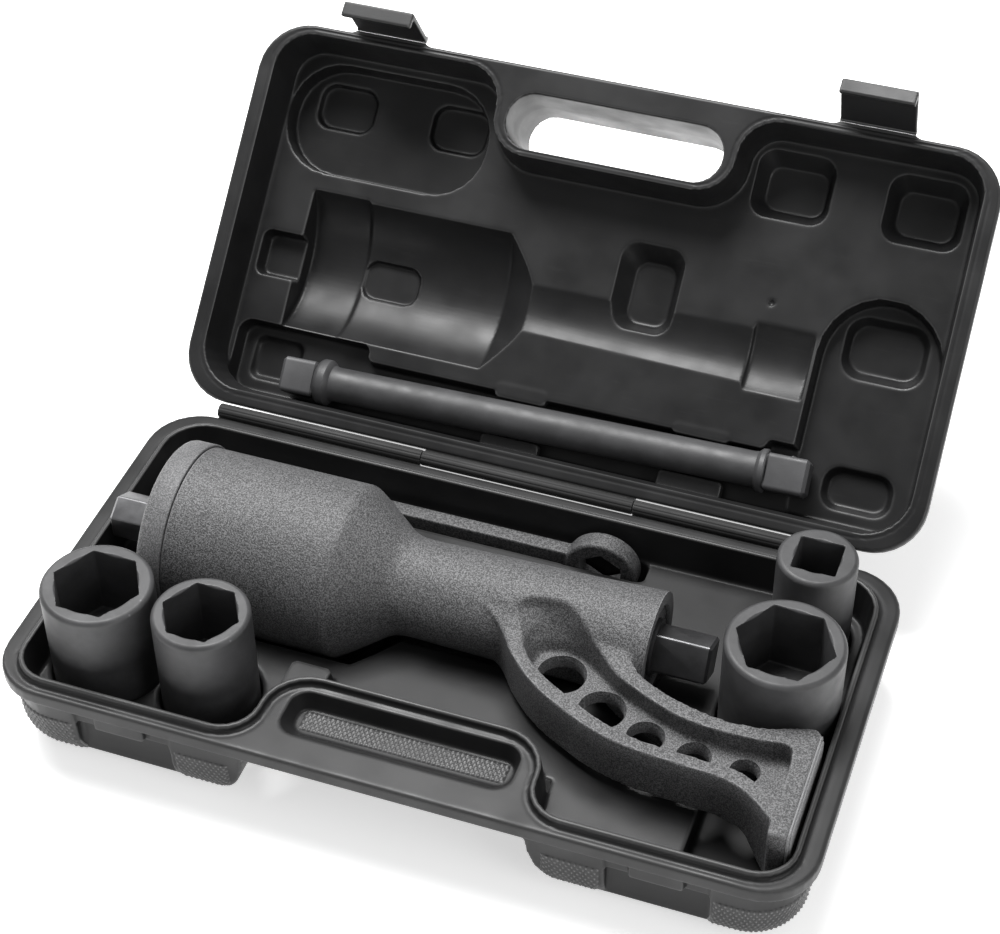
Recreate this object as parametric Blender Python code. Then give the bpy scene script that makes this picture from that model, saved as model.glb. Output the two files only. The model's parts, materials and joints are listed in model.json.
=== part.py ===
"""Torque multiplier wrench kit in its blow-moulded carrying case, lid open, every tool in its place.

Lengths are in millimetres and angles in degrees until a helper turns them into metres and radians.
World frame: +X along the case's length, +Y from the front to the hinge, +Z up, with the origin at
the middle of the base's flat bottom. The lid is drawn closed, in a frame that sits on the hinge
axis, and an empty swings it open.
"""

import math

import bmesh
import bpy
from mathutils import Vector

MM = 0.001
GAP = 0.3  # between pieces that touch

# Case
CASE_LENGTH = 400.0
CASE_DEPTH = 207.6
CASE_CORNER = 27.0
RIM_Z = 50.0
FLANGE_THICK = 8.0
WALL_INSET = 4.0
FOOT_INSET = 24.0
DECK_Z = 33.0
FLOOR_Z = 7.0
SUPPORT_TOP = 42.0
TONGUE_HEIGHT = 4.0
TONGUE_THICK = 2.5
LID_DEPTH = 52.0
LID_DECK = 27.0
LID_SOCKET_FLOOR = 39.0

# Lid hinge and latches
HINGE_Y = 108.5
HINGE_Z = 50.4
OPEN_ANGLE = 136.8
KNUCKLE_RADIUS = 3.9
HINGE_PIN_RADIUS = 1.5
HINGE_BORE_RADIUS = 1.65
HINGE_LEFT = -173.0
HINGE_RIGHT = 171.0
LID_KNUCKLE_LEFT = -58.0
LID_KNUCKLE_RIGHT = 56.0
LATCH_X = 131.5
LATCH_WIDTH = 39.0
LATCH_LENGTH = 27.5
LATCH_THICK = 3.0
LATCH_LIP = 5.0
LATCH_PIVOT_U = 216.2
LATCH_PIVOT_DEPTH = 3.5
LATCH_LEFT_TILT = 82.0
LATCH_RIGHT_TILT = 66.0
CATCH_RECESS_WIDTH = 49.0

# Torque multiplier, turned about the line (AXIS_Y, AXIS_Z) along X
AXIS_Y = 17.5
AXIS_Z = 53.0
BODY_RADIUS = 43.6
COVER_RADIUS = 45.0
COVER_LEFT = -156.5
COVER_RIGHT = -143.3
NECK_RIGHT = 96.0
NECK_RADIUS = 24.5
NECK_END_RADIUS = 27.3
GEAR_BORE = 37.0
SHAFT_RADIUS = 14.0
DRIVE_SQUARE = 19.05
DRIVE_LENGTH = 27.5
DRIVE_TURN = 27.0
INPUT_HEX = 21.0
INPUT_LEFT = -187.0

# Planetary gears: ring = sun + 2 x planet, two equal stages on one ring gear
MODULE = 1.1
SUN_TEETH = 9
PLANET_TEETH = 24
RING_TEETH = SUN_TEETH + 2 * PLANET_TEETH
PLANET_COUNT = 3
PLANET_ORBIT = MODULE * (SUN_TEETH + PLANET_TEETH) / 2
PLANET_PIN_RADIUS = 4.0
STAGE_1 = (-135.0, -119.0)
STAGE_2 = (-108.0, -88.5)
CARRIER_RADIUS = 23.0

# Reaction arm
ARM_TOP = 65.6
ARM_BOTTOM = 38.0
WEB_TOP = 54.0
WEB_BOTTOM = 47.0
FOOT_BOTTOM = 24.0

# Sockets: name, x, y, outer radius, width across flats, number of flats
SOCKET_BOTTOM = FLOOR_Z + GAP
SOCKET_TOP = 87.0
SOCKETS = (
    ("socket_38mm", -156.4, -60.0, 27.0, 38.4, 6),
    ("socket_33mm", -102.2, -61.0, 23.5, 33.4, 6),
    ("socket_41mm", 158.5, 9.0, 28.4, 41.4, 6),
    ("socket_21mm_square", 159.0, 68.0, 19.5, 21.4, 4),
)
SOCKET_DRIVE = 19.4
SOCKET_MOUTH_DEPTH = 38.0

# Extension bar, lying in the lid
BAR_MIDDLE_X = -7.7
BAR_LENGTH = 288.0
BAR_RADIUS = 9.3
BAR_COLLAR_RADIUS = 12.4
BAR_U = 31.4
BAR_DEPTH = 26.0
BAR_TILT = 1.4
BAR_SQUARE = 19.0

# Crank, lying on edge behind the multiplier
CRANK_Y = 81.8
CRANK_Z = 31.0
CRANK_HUB_X = 49.0
CRANK_GRIP_X = -173.0
CRANK_THICK = 8.0
CRANK_HEIGHT = 14.0
CRANK_HUB_RADIUS = 19.0
CRANK_HUB_THICK = 11.0
CRANK_HEX = 21.6
GRIP_RADIUS = 12.0
GRIP_PIN_RADIUS = 4.0
GRIP_FRONT = 38.5
GRIP_BACK = 76.0


# Materials


def make_material(name, colour, roughness, metallic):
    material = bpy.data.materials.new(name)
    material.use_nodes = True
    shader = material.node_tree.nodes["Principled BSDF"]
    shader.inputs["Base Color"].default_value = (*colour, 1.0)
    shader.inputs["Roughness"].default_value = roughness
    shader.inputs["Metallic"].default_value = metallic
    return material


# Outlines, as lists of (a, b) in millimetres


def rounded_outline(corners, steps=6):
    """The polygon through corners (a, b, radius), each rounded with an arc that touches both sides."""
    outline = []
    for index, (a, b, radius) in enumerate(corners):
        corner = Vector((a, b))
        before = (Vector(corners[index - 1][:2]) - corner).normalized()
        after = (Vector(corners[(index + 1) % len(corners)][:2]) - corner).normalized()
        if radius <= 0:
            outline.append((a, b))
            continue
        half = before.angle(after) / 2
        centre = corner + (before + after).normalized() * radius / math.sin(half)
        start = corner + before * radius / math.tan(half) - centre
        end = corner + after * radius / math.tan(half) - centre
        sweep = start.angle_signed(end)
        for step in range(steps + 1):
            turn = -sweep * step / steps
            outline.append(
                (
                    centre.x + start.x * math.cos(turn) - start.y * math.sin(turn),
                    centre.y + start.x * math.sin(turn) + start.y * math.cos(turn),
                )
            )
    return outline


def rounded_box_outline(a_low, a_high, b_low, b_high, radius, steps=6):
    corners = ((a_low, b_low), (a_high, b_low), (a_high, b_high), (a_low, b_high))
    return rounded_outline([(a, b, radius) for a, b in corners], steps)


def regular_outline(flats, across, turn=0.0):
    """A regular polygon by its width across flats, with a flat facing the angle turn."""
    radius = across / 2 / math.cos(math.pi / flats)
    first = math.radians(turn) + math.pi / flats
    return [
        (
            radius * math.cos(first + 2 * math.pi * k / flats),
            radius * math.sin(first + 2 * math.pi * k / flats),
        )
        for k in range(flats)
    ]


def smooth_curve(points, steps=4):
    """A Catmull-Rom curve through the points."""
    ends = [2 * Vector(points[0]) - Vector(points[1])]
    ends += [Vector(point) for point in points]
    ends.append(2 * Vector(points[-1]) - Vector(points[-2]))
    curve = []
    for p0, p1, p2, p3 in zip(ends, ends[1:], ends[2:], ends[3:]):
        for step in range(steps):
            t = step / steps
            point = (
                2 * p1
                + (p2 - p0) * t
                + (2 * p0 - 5 * p1 + 4 * p2 - p3) * t**2
                + (3 * p1 - p0 - 3 * p2 + p3) * t**3
            ) / 2
            curve.append((point.x, point.y))
    curve.append(tuple(points[-1]))
    return curve


def offset_curve(curve, distance):
    """The open curve moved sideways, to its left where distance is positive."""
    moved = []
    for index, (a, b) in enumerate(curve):
        before = Vector(curve[max(index - 1, 0)])
        after = Vector(curve[min(index + 1, len(curve) - 1)])
        along = (after - before).normalized()
        moved.append((a - along.y * distance, b + along.x * distance))
    return moved


def mouth_outline(inset, front, back, steps=5):
    """The case's mouth, which steps back in the middle of the front to go round the grip."""
    side = 191.2 - inset
    jog = 65.3 + inset
    front_y = front + inset
    jog_y = front + 42.8 + inset
    corners = (
        (-side, front_y, 20.0 - inset),
        (-jog, front_y, 20.0 - inset),
        (-jog, jog_y, 20.0 + inset),
        (jog, jog_y, 20.0 + inset),
        (jog, front_y, 20.0 - inset),
        (side, front_y, 20.0 - inset),
        (side, back - inset, 24.0 - inset),
        (-side, back - inset, 24.0 - inset),
    )
    return rounded_outline(corners, steps)


def tooth_outline(teeth, tip, root):
    """A gear outline with one tooth centred on angle 0, narrow enough to leave backlash."""
    pitch = 2 * math.pi / teeth
    outline = []
    for tooth in range(teeth):
        for share, radius in ((-0.27, root), (-0.13, tip), (0.13, tip), (0.27, root)):
            angle = pitch * (tooth + share)
            outline.append((radius * math.cos(angle), radius * math.sin(angle)))
    return outline


def external_gear_outline(teeth):
    return tooth_outline(teeth, MODULE * (teeth / 2 + 0.7), MODULE * (teeth / 2 - 1.0))


# Solids. Each mesh is relative to its object's origin, at, which is in the parent's frame.


def place(obj, at, parent):
    obj.parent = parent
    obj.location = [MM * value for value in at]
    return obj


def object_from(name, geometry, at=(0, 0, 0), parent=None):
    bmesh.ops.recalc_face_normals(geometry, faces=geometry.faces)
    mesh = bpy.data.meshes.new(name)
    geometry.to_mesh(mesh)
    geometry.free()
    obj = bpy.data.objects.new(name, mesh)
    bpy.context.collection.objects.link(obj)
    return place(obj, at, parent)


def loft(name, rings, at=(0, 0, 0), parent=None, closed=False):
    """Joins rings of equally many (x, y, z) points. A ring of one point is a pole."""
    geometry = bmesh.new()
    rows = [[geometry.verts.new([MM * c for c in point]) for point in ring] for ring in rings]
    pairs = list(zip(rows, rows[1:]))
    if closed:
        pairs.append((rows[-1], rows[0]))
    for low, high in pairs:
        count = max(len(low), len(high))
        for k in range(count):
            face = [low[k % len(low)], low[(k + 1) % len(low)]]
            face += [high[(k + 1) % len(high)], high[k % len(high)]]
            geometry.faces.new(dict.fromkeys(face))
    if not closed:
        for row in (rows[0], rows[-1]):
            if len(row) > 2:
                geometry.faces.new(row)
    return object_from(name, geometry, at, parent)


def prism(name, outline, low, high, axis="Z", at=(0, 0, 0), parent=None):
    """The outline pushed along an axis from low to high."""
    rings = [[on_axis(axis, level, a, b) for a, b in outline] for level in (low, high)]
    return loft(name, rings, at, parent)


def on_axis(axis, along, a, b):
    """The point at a distance along an axis, with a and b along the two axes after it, in X, Y, Z order."""
    return {"X": (along, a, b), "Y": (b, along, a), "Z": (a, b, along)}[axis]


def turned(name, profile, axis="X", segments=32, at=(0, 0, 0), parent=None, closed=False):
    """A profile of (along, radius) turned about an axis. A closed one has a bore."""
    rings = []
    for along, radius in profile:
        count = segments if radius > 0 else 1
        angles = [2 * math.pi * k / segments for k in range(count)]
        rings.append(
            [
                on_axis(axis, along, radius * math.cos(angle), radius * math.sin(angle))
                for angle in angles
            ]
        )
    return loft(name, rings, at, parent, closed)


def rod(name, low, high, radius, axis="X", segments=32, at=(0, 0, 0), parent=None):
    return turned(name, [(low, 0), (low, radius), (high, radius), (high, 0)], axis, segments, at, parent)


def tube(name, low, high, inner, outer, axis="X", segments=32, at=(0, 0, 0), parent=None):
    profile = [(low, inner), (low, outer), (high, outer), (high, inner)]
    return turned(name, profile, axis, segments, at, parent, closed=True)


def box(name, low, high, at=(0, 0, 0), parent=None):
    outline = [(low[0], low[1]), (high[0], low[1]), (high[0], high[1]), (low[0], high[1])]
    return prism(name, outline, low[2], high[2], "Z", at, parent)


def combine(obj, others, operation):
    """Adds Boolean modifiers, and marks the other shapes as helpers."""
    for other in others:
        other.hide_render = True
        other.display_type = "WIRE"
        modifier = obj.modifiers.new(f"{operation.lower()} {other.name}", "BOOLEAN")
        modifier.operation = operation
        modifier.object = other
    return obj


def cut(obj, cutters):
    return combine(obj, cutters, "DIFFERENCE")


def join(obj, pieces):
    return combine(obj, pieces, "UNION")


def finish(obj, material):
    obj.data.materials.append(material)
    obj.data.shade_smooth()
    obj.data.set_sharp_from_angle(angle=math.radians(30))
    return obj


def make_empty(name, at, parent=None, turn_x=0.0):
    empty = bpy.data.objects.new(name, None)
    bpy.context.collection.objects.link(empty)
    empty.rotation_euler.x = math.radians(turn_x)
    return place(empty, at, parent)


# The case


def shell_rings(height, direction):
    """Rings of the case's outside, from its rim flange to its flat face, height away."""
    levels = (
        (0.0, 0.0),
        (0.0, FLANGE_THICK),
        (WALL_INSET, FLANGE_THICK),
        (WALL_INSET + 1.5, height - 19.0),
        (WALL_INSET + 4.5, height - 10.0),
        (WALL_INSET + 10.0, height - 3.5),
        (FOOT_INSET, height),
    )
    rings = []
    for inset, level in levels:
        half_x = CASE_LENGTH / 2 - inset
        half_y = CASE_DEPTH / 2 - inset
        radius = max(CASE_CORNER - inset / 2, 8.0)
        outline = rounded_box_outline(-half_x, half_x, -half_y, half_y, radius)
        rings.append([(x, y, direction * level) for x, y in outline])
    return rings


def hinge_knuckle(name, low, high, at, parent):
    return tube(name, low, high, HINGE_BORE_RADIUS, KNUCKLE_RADIUS, "X", 24, at, parent)


def make_case_base(material):
    at = (0, 0, RIM_Z)
    base = loft("case_base", shell_rings(RIM_Z, -1), at)
    front = -99.0
    back = 95.6
    tongue = prism("tongue", mouth_outline(0.8, front, back), -3.0, TONGUE_HEIGHT, "Z", at)
    join(base, [tongue])
    spans = ((HINGE_LEFT, LID_KNUCKLE_LEFT - 0.5), (LID_KNUCKLE_RIGHT + 0.5, HINGE_RIGHT))
    for k, (low, high) in enumerate(spans):
        web = box(f"base_knuckle_web_{k}", (low, CASE_DEPTH / 2 - 1, 43.0), (high, HINGE_Y, 47.8))
        knuckle = hinge_knuckle(f"base_knuckle_{k}", low, high, (0, HINGE_Y, HINGE_Z), None)
        join(base, [web, knuckle])

    cavity = prism(
        "tray_cavity",
        mouth_outline(0.8 + TONGUE_THICK, front, back),
        DECK_Z - RIM_Z,
        TONGUE_HEIGHT + 5,
        "Z",
        at,
    )
    multiplier_pocket = turned(
        "multiplier_pocket",
        [
            (COVER_LEFT - 5.0, 0),
            (COVER_LEFT - 5.0, COVER_RADIUS + 1),
            (-46, COVER_RADIUS + 1),
            (-28, NECK_RADIUS + 3),
            (NECK_RIGHT + 2, NECK_END_RADIUS + 1),
            (NECK_RIGHT + 2, 0),
        ],
        at=(0, AXIS_Y, AXIS_Z),
    )
    socket_pockets = [
        rod(f"pocket_{name}", FLOOR_Z, RIM_Z, radius + 1, "Z", 32, (x, y, 0))
        for name, x, y, radius, _, _ in SOCKETS
    ]
    foot_pocket = box("foot_pocket", (138, -91, FOOT_BOTTOM - 2), (190, -15, DECK_Z + 2))
    crank_pocket = box("crank_pocket", (-186, 75, 17.5), (72, 89, DECK_Z + 2))
    hub_pocket = rod("hub_pocket", 75, 89, CRANK_HUB_RADIUS + 1, "Y", 24, (CRANK_HUB_X, 0, CRANK_Z))
    grip_pocket = box("grip_pocket", (-186.5, 36, 17), (-160, 76, DECK_Z + 2))
    grip_recess = loft(
        "grip_recess",
        [
            [(x, y, 54) for x, y in rounded_box_outline(-58, 58, -88, -62, 12, 4)],
            [(x, y, 40) for x, y in rounded_box_outline(-52, 52, -80, -65, 7, 4)],
        ],
    )
    notch = prism(
        "hand_notch",
        [(-110, -2), (-64, -2), (-64, 36), (-89, 36), (-92, 41.5), (-110, 41.5)],
        -68,
        68,
        "X",
    )
    cut(base, [cavity, multiplier_pocket, *socket_pockets, foot_pocket, crank_pocket])
    cut(base, [hub_pocket, grip_pocket, grip_recess, notch])
    support = rounded_box_outline(-70, -48, -57, -36, 2.5, 3)
    join(base, [prism("support_block", support, DECK_Z - 2, SUPPORT_TOP)])
    for side, sign in (("left", -1), ("right", 1)):
        middle = sign * LATCH_X
        low = middle - CATCH_RECESS_WIDTH / 2
        high = middle + CATCH_RECESS_WIDTH / 2
        upper = box(f"catch_recess_{side}", (low, -110, 30), (high, -97.3, 41.5))
        lower = box(f"catch_slope_{side}", (low, -110, -2), (high, -93, 30))
        cut(base, [upper, lower])
        block = box(f"catch_{side}", (middle - 13, -101.5, 32.2), (middle + 13, -96.6, 43))
        join(base, [block])
    return finish(base, material)


def make_hinge_pin(material):
    pin = rod(
        "hinge_pin",
        HINGE_LEFT + 1,
        HINGE_RIGHT - 1,
        HINGE_PIN_RADIUS,
        "X",
        24,
        (0, HINGE_Y, HINGE_Z),
    )
    return finish(pin, material)


def make_case_lid(hinge, material):
    """The lid in its own frame: hinge axis at the origin, front along -Y, outside up."""
    middle = (0, -HINGE_Y, 0)
    lid = loft("case_lid", shell_rings(LID_DEPTH, 1), middle, hinge)
    lid.data.transform(lid.matrix_basis)
    lid.location = (0, 0, 0)
    knuckle = hinge_knuckle("lid_knuckle", LID_KNUCKLE_LEFT, LID_KNUCKLE_RIGHT, (0, 0, 0), hinge)
    web = box(
        "lid_knuckle_web",
        (LID_KNUCKLE_LEFT, -6.0, 2.0),
        (LID_KNUCKLE_RIGHT, 0, 3.7),
        parent=hinge,
    )
    join(lid, [web, knuckle])

    front = -99.0 - HINGE_Y
    back = 95.6 - HINGE_Y
    cavity = prism("lid_cavity", mouth_outline(0, front, back), -1, LID_DECK, "Z", parent=hinge)
    hole = prism(
        "handle_hole",
        rounded_box_outline(-57.3, 57.3, -197.3, -169.7, 13.7),
        -1,
        LID_DEPTH + 1,
        "Z",
        parent=hinge,
    )
    lid_axis_y = AXIS_Y - HINGE_Y
    multiplier_pocket = turned(
        "lid_multiplier_pocket",
        [
            (COVER_LEFT - 5.0, 0),
            (COVER_LEFT - 5.0, COVER_RADIUS + 1),
            (-130, COVER_RADIUS + 1),
            (-129, BODY_RADIUS + 1),
            (-46, BODY_RADIUS + 1),
            (-28, NECK_RADIUS + 2.5),
            (90, NECK_END_RADIUS + 0.5),
            (91, NECK_END_RADIUS + 3.2),
            (123.5, NECK_END_RADIUS + 3.2),
            (123.5, 0),
        ],
        at=(0, lid_axis_y, AXIS_Z - HINGE_Z),
        parent=hinge,
    )
    capsule = prism(
        "lid_socket_pocket_left",
        rounded_box_outline(-186, -73, -199.5, -141.0, 28),
        LID_DECK - 2,
        LID_SOCKET_FLOOR,
        "Z",
        parent=hinge,
    )
    right_corners = [(189, -15.5, 20), (125, -15.5, 0), (125, -134.5, 30), (189, -134.5, 34)]
    right_recess = prism(
        "lid_socket_pocket_right",
        rounded_outline(right_corners),
        LID_DECK - 2,
        LID_SOCKET_FLOOR,
        "Z",
        parent=hinge,
    )
    bar_groove = prism(
        "bar_groove",
        rounded_outline(
            [
                (-185, -14, 6),
                (140, -14, 4),
                (140, -50, 4),
                (108, -50, 2),
                (108, -45, 0),
                (-108, -44, 0),
                (-112, -52, 4),
                (-185, -52, 8),
            ],
            3,
        ),
        LID_DECK - 2,
        BAR_DEPTH + BAR_COLLAR_RADIUS + 0.6,
        "Z",
        parent=hinge,
    )
    cut(lid, [cavity, hole, multiplier_pocket, capsule, right_recess, bar_groove])
    return finish(lid, material)


def make_latch(side, tilt, hinge, material):
    """A moulded tab on a thin bending web, with a lip across its free end."""
    sign = -1 if side == "left" else 1
    pivot_at = (sign * LATCH_X, -LATCH_PIVOT_U, LATCH_PIVOT_DEPTH)
    pivot = make_empty(f"latch_axis_{side}", pivot_at, hinge, tilt)
    half = LATCH_THICK / 2
    section = [
        (0.8, half),
        (0.8, -half),
        (-LATCH_LENGTH, -half),
        (-LATCH_LENGTH, -half - LATCH_LIP),
        (-LATCH_LENGTH - 3.0, -half - LATCH_LIP),
        (-LATCH_LENGTH - 3.0, half),
    ]
    latch = prism(f"latch_{side}", section, -LATCH_WIDTH / 2, LATCH_WIDTH / 2, "X", parent=pivot)
    return finish(latch, material)


# The torque multiplier


def arm_front():
    """The reaction arm's front edge, from inside the neck to the foot."""
    return smooth_curve([(-4, 14), (25, -8), (55, -37), (104, -56.5), (147, -59.5), (180, -81)])


def arm_back():
    return smooth_curve([(58, 18), (75, -3), (98, -14.5), (124, -25.3), (154, -26.5), (180, -19)])


def make_gear_housing(material):
    at = (0, AXIS_Y, AXIS_Z)
    housing = turned(
        "gear_housing",
        [
            (COVER_RIGHT + GAP, BODY_RADIUS),
            (-57, BODY_RADIUS),
            (-51, BODY_RADIUS - 1.8),
            (-31, NECK_RADIUS + 0.8),
            (-22, NECK_RADIUS),
            (60, NECK_RADIUS + 1.5),
            (NECK_RIGHT, NECK_END_RADIUS),
            (NECK_RIGHT, 20),
            (78, 20),
            (78, SHAFT_RADIUS + 1.5),
            (-50, SHAFT_RADIUS + 1.5),
            (-50, 20),
            (-69.5, 20),
            (-69.5, GEAR_BORE),
            (COVER_RIGHT + GAP, GEAR_BORE),
        ],
        segments=40,
        at=at,
        closed=True,
    )
    front = arm_front()
    back = arm_back()
    web = prism("arm_web", front + back[::-1], WEB_BOTTOM - AXIS_Z, WEB_TOP - AXIS_Z, "Z", (0, 0, AXIS_Z))
    flanges = [
        prism(
            f"arm_flange_{name}",
            curve + offset_curve(curve, side)[::-1],
            ARM_BOTTOM - AXIS_Z,
            ARM_TOP - AXIS_Z,
            "Z",
            (0, 0, AXIS_Z),
        )
        for name, curve, side in (("front", front, 7.0), ("back", back, -6.5))
    ]
    foot = prism(
        "arm_foot",
        rounded_outline([(174, -84, 2), (186, -84, 2), (186, -18.5, 2), (174, -18.5, 2)], 2),
        FOOT_BOTTOM,
        ARM_TOP,
    )
    join(housing, [web, *flanges, foot])
    clearance = rod("arm_root_bore", -40, 77.9, SHAFT_RADIUS + 1.5, "X", 32, at)
    seat = rod("arm_root_seat", 77.9, 110, 20, "X", 32, at)
    holes = [
        rod(f"arm_hole_{k}", 40, 60, diameter / 2, "Z", 20, (x, y, 0))
        for k, (x, y, diameter) in enumerate(
            (
                (59.1, -14.6, 22.0),
                (83.6, -29.4, 21.0),
                (107.3, -38.4, 16.4),
                (131.3, -42.4, 14.7),
                (155.5, -43.6, 12.7),
            )
        )
    ]
    cut(housing, [clearance, seat, *holes])
    return finish(housing, material)


def make_end_cover(material):
    profile = [
        (COVER_LEFT - 3.5, 33),
        (COVER_LEFT, 35),
        (COVER_LEFT, COVER_RADIUS - 1.6),
        (COVER_LEFT + 1.6, COVER_RADIUS),
        (COVER_RIGHT, COVER_RADIUS),
        (COVER_RIGHT, GEAR_BORE - GAP),
        (-138, GEAR_BORE - GAP),
        (-138, 14.2),
        (-152, 14.2),
        (-152, 9.0),
        (COVER_LEFT - 3.5, 9.0),
    ]
    cover = turned("end_cover", profile, segments=40, at=(0, AXIS_Y, AXIS_Z), closed=True)
    return finish(cover, material)


def make_ring_gear(material):
    at = (0, AXIS_Y, AXIS_Z)
    ring = rod("ring_gear", -137.5, -85.5, GEAR_BORE - GAP, "X", 40, at)
    teeth = tooth_outline(RING_TEETH, MODULE * (RING_TEETH / 2 - 0.7), MODULE * (RING_TEETH / 2 + 1.0))
    cut(ring, [prism("ring_teeth", teeth, -140, -80, "X", at)])
    return finish(ring, material)


def make_input_shaft(material):
    at = (0, AXIS_Y, AXIS_Z)
    shaft = rod("input_shaft", COVER_LEFT - 4.5, STAGE_1[0] - 0.5, 8.4, "X", 24, at)
    hexagon = prism("input_hex", regular_outline(6, INPUT_HEX, 180), INPUT_LEFT, COVER_LEFT - 4.0, "X", at)
    sun = prism("sun_1", external_gear_outline(SUN_TEETH), STAGE_1[0] - 1, STAGE_1[1], "X", at)
    join(shaft, [hexagon, sun])
    return finish(shaft, material)


def planet_angles():
    return [2 * math.pi * k / PLANET_COUNT for k in range(PLANET_COUNT)]


def planet_pins(stage, low, high):
    return [
        rod(
            f"{stage}_pin_{k + 1}",
            low,
            high,
            PLANET_PIN_RADIUS,
            "X",
            16,
            (
                0,
                AXIS_Y + PLANET_ORBIT * math.cos(angle),
                AXIS_Z + PLANET_ORBIT * math.sin(angle),
            ),
        )
        for k, angle in enumerate(planet_angles())
    ]


def make_stage_1_carrier(material):
    at = (0, AXIS_Y, AXIS_Z)
    carrier = rod("stage_1_carrier", -117.5, -111.0, CARRIER_RADIUS, "X", 32, at)
    sun = prism("sun_2", external_gear_outline(SUN_TEETH), -112, STAGE_2[1], "X", at)
    join(carrier, [*planet_pins("stage_1", STAGE_1[0], -115.0), sun])
    return finish(carrier, material)


def make_output_shaft(material):
    at = (0, AXIS_Y, AXIS_Z)
    profile = [
        (-84.5, 0),
        (-84.5, CARRIER_RADIUS),
        (-72, CARRIER_RADIUS),
        (-72, SHAFT_RADIUS),
        (NECK_RIGHT + 0.5, SHAFT_RADIUS),
        (NECK_RIGHT + 0.5, 0),
    ]
    shaft = turned("output_shaft", profile, at=at)
    square = prism(
        "output_square",
        regular_outline(4, DRIVE_SQUARE, 180 - DRIVE_TURN),
        NECK_RIGHT - 3,
        NECK_RIGHT + DRIVE_LENGTH,
        "X",
        at,
    )
    join(shaft, [*planet_pins("stage_2", STAGE_2[0], -82.0), square])
    return finish(shaft, material)


def make_planets(stage, span, material):
    for k, angle in enumerate(planet_angles()):
        at = (
            0,
            AXIS_Y + PLANET_ORBIT * math.cos(angle),
            AXIS_Z + PLANET_ORBIT * math.sin(angle),
        )
        half_pitch = math.pi / PLANET_TEETH
        turn = angle + half_pitch
        outline = [
            (
                a * math.cos(turn) - b * math.sin(turn),
                a * math.sin(turn) + b * math.cos(turn),
            )
            for a, b in external_gear_outline(PLANET_TEETH)
        ]
        planet = prism(f"{stage}_planet_{k + 1}", outline, span[0], span[1], "X", at)
        bore = rod(f"{stage}_planet_bore_{k + 1}", -140, -60, PLANET_PIN_RADIUS + 0.2, "X", 16, at)
        finish(cut(planet, [bore]), material)


def make_bearings(bronze, steel):
    at = (0, AXIS_Y, AXIS_Z)
    finish(tube("input_bearing", -151.7, -138.5, 8.7, 13.9, segments=24, at=at), steel)
    finish(tube("rear_bush", -69.2, -50.3, SHAFT_RADIUS + 0.3, 19.7, at=at), bronze)
    finish(tube("front_bush", 78.3, 92.5, SHAFT_RADIUS + 0.3, 19.7, at=at), bronze)
    finish(tube("output_circlip", 93.0, 94.5, SHAFT_RADIUS + 0.3, 19.7, at=at), steel)
    finish(tube("thrust_washer", -88.1, -84.8, 2.5, 8.0, segments=24, at=at), bronze)


# Loose tools


def make_sockets(material):
    for name, x, y, radius, across, flats in SOCKETS:
        chamfer = 1.2
        body = turned(
            name,
            [
                (SOCKET_BOTTOM, 0),
                (SOCKET_BOTTOM, radius - chamfer),
                (SOCKET_BOTTOM + chamfer, radius),
                (SOCKET_TOP - chamfer, radius),
                (SOCKET_TOP, radius - chamfer),
                (SOCKET_TOP, 0),
            ],
            axis="Z",
            segments=36,
            at=(x, y, 0),
        )
        at = (x, y, 0)
        mouth = prism(
            f"{name}_mouth",
            regular_outline(flats, across, 90),
            SOCKET_TOP - SOCKET_MOUTH_DEPTH,
            SOCKET_TOP + 2,
            "Z",
            at,
        )
        drive = prism(
            f"{name}_drive",
            regular_outline(4, SOCKET_DRIVE, 90),
            SOCKET_BOTTOM - 2,
            SOCKET_TOP - SOCKET_MOUTH_DEPTH + 1,
            "Z",
            at,
        )
        finish(cut(body, [mouth, drive]), material)


def make_extension_bar(hinge, material, ball_material):
    """A round bar with a chamfered drive square and a collar at each end."""
    bar_frame = make_empty("bar_frame", (BAR_MIDDLE_X, -BAR_U, BAR_DEPTH), hinge)
    bar_frame.rotation_euler.z = math.radians(-BAR_TILT)
    half = BAR_LENGTH / 2
    profile = [
        (-half + 19, 0),
        (-half + 19, 11),
        (-half + 20.5, BAR_COLLAR_RADIUS),
        (-half + 26, BAR_COLLAR_RADIUS),
        (-half + 27.5, BAR_RADIUS),
        (half - 27, BAR_RADIUS),
        (half - 26, 11.6),
        (half - 22.5, 11.6),
        (half - 22, 10.5),
        (half - 22, 0),
    ]
    bar = turned("extension_bar", profile, parent=bar_frame)
    corner = 2.4
    side = BAR_SQUARE / 2
    square = rounded_box_outline(-side, side, -side, side, corner, 2)
    for name, inner, outer in (("left", -half + 20, -half), ("right", half - 23, half)):
        tip = outer + 2.0 * (1 if inner > outer else -1)
        rings = [
            [(level, a * scale, b * scale) for a, b in square]
            for level, scale in ((inner, 1.0), (tip, 1.0), (outer, 0.86))
        ]
        end = loft(f"bar_square_{name}", rings, parent=bar_frame)
        join(bar, [end])
    pocket_at = half - 10
    cut(bar, [rod("detent_pocket", -20, -side + 4, 2.6, "Y", 16, (pocket_at, 0, 0), bar_frame)])
    finish(bar, material)
    ball = turned(
        "detent_ball",
        [(-side + 3.4, 0), (-side + 1.4, 2.2), (-side - 0.2, 1.9), (-side - 0.9, 1.0), (-side - 1.1, 0)],
        axis="Y",
        segments=12,
        at=(pocket_at, 0, 0),
        parent=bar_frame,
    )
    finish(ball, ball_material)


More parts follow.
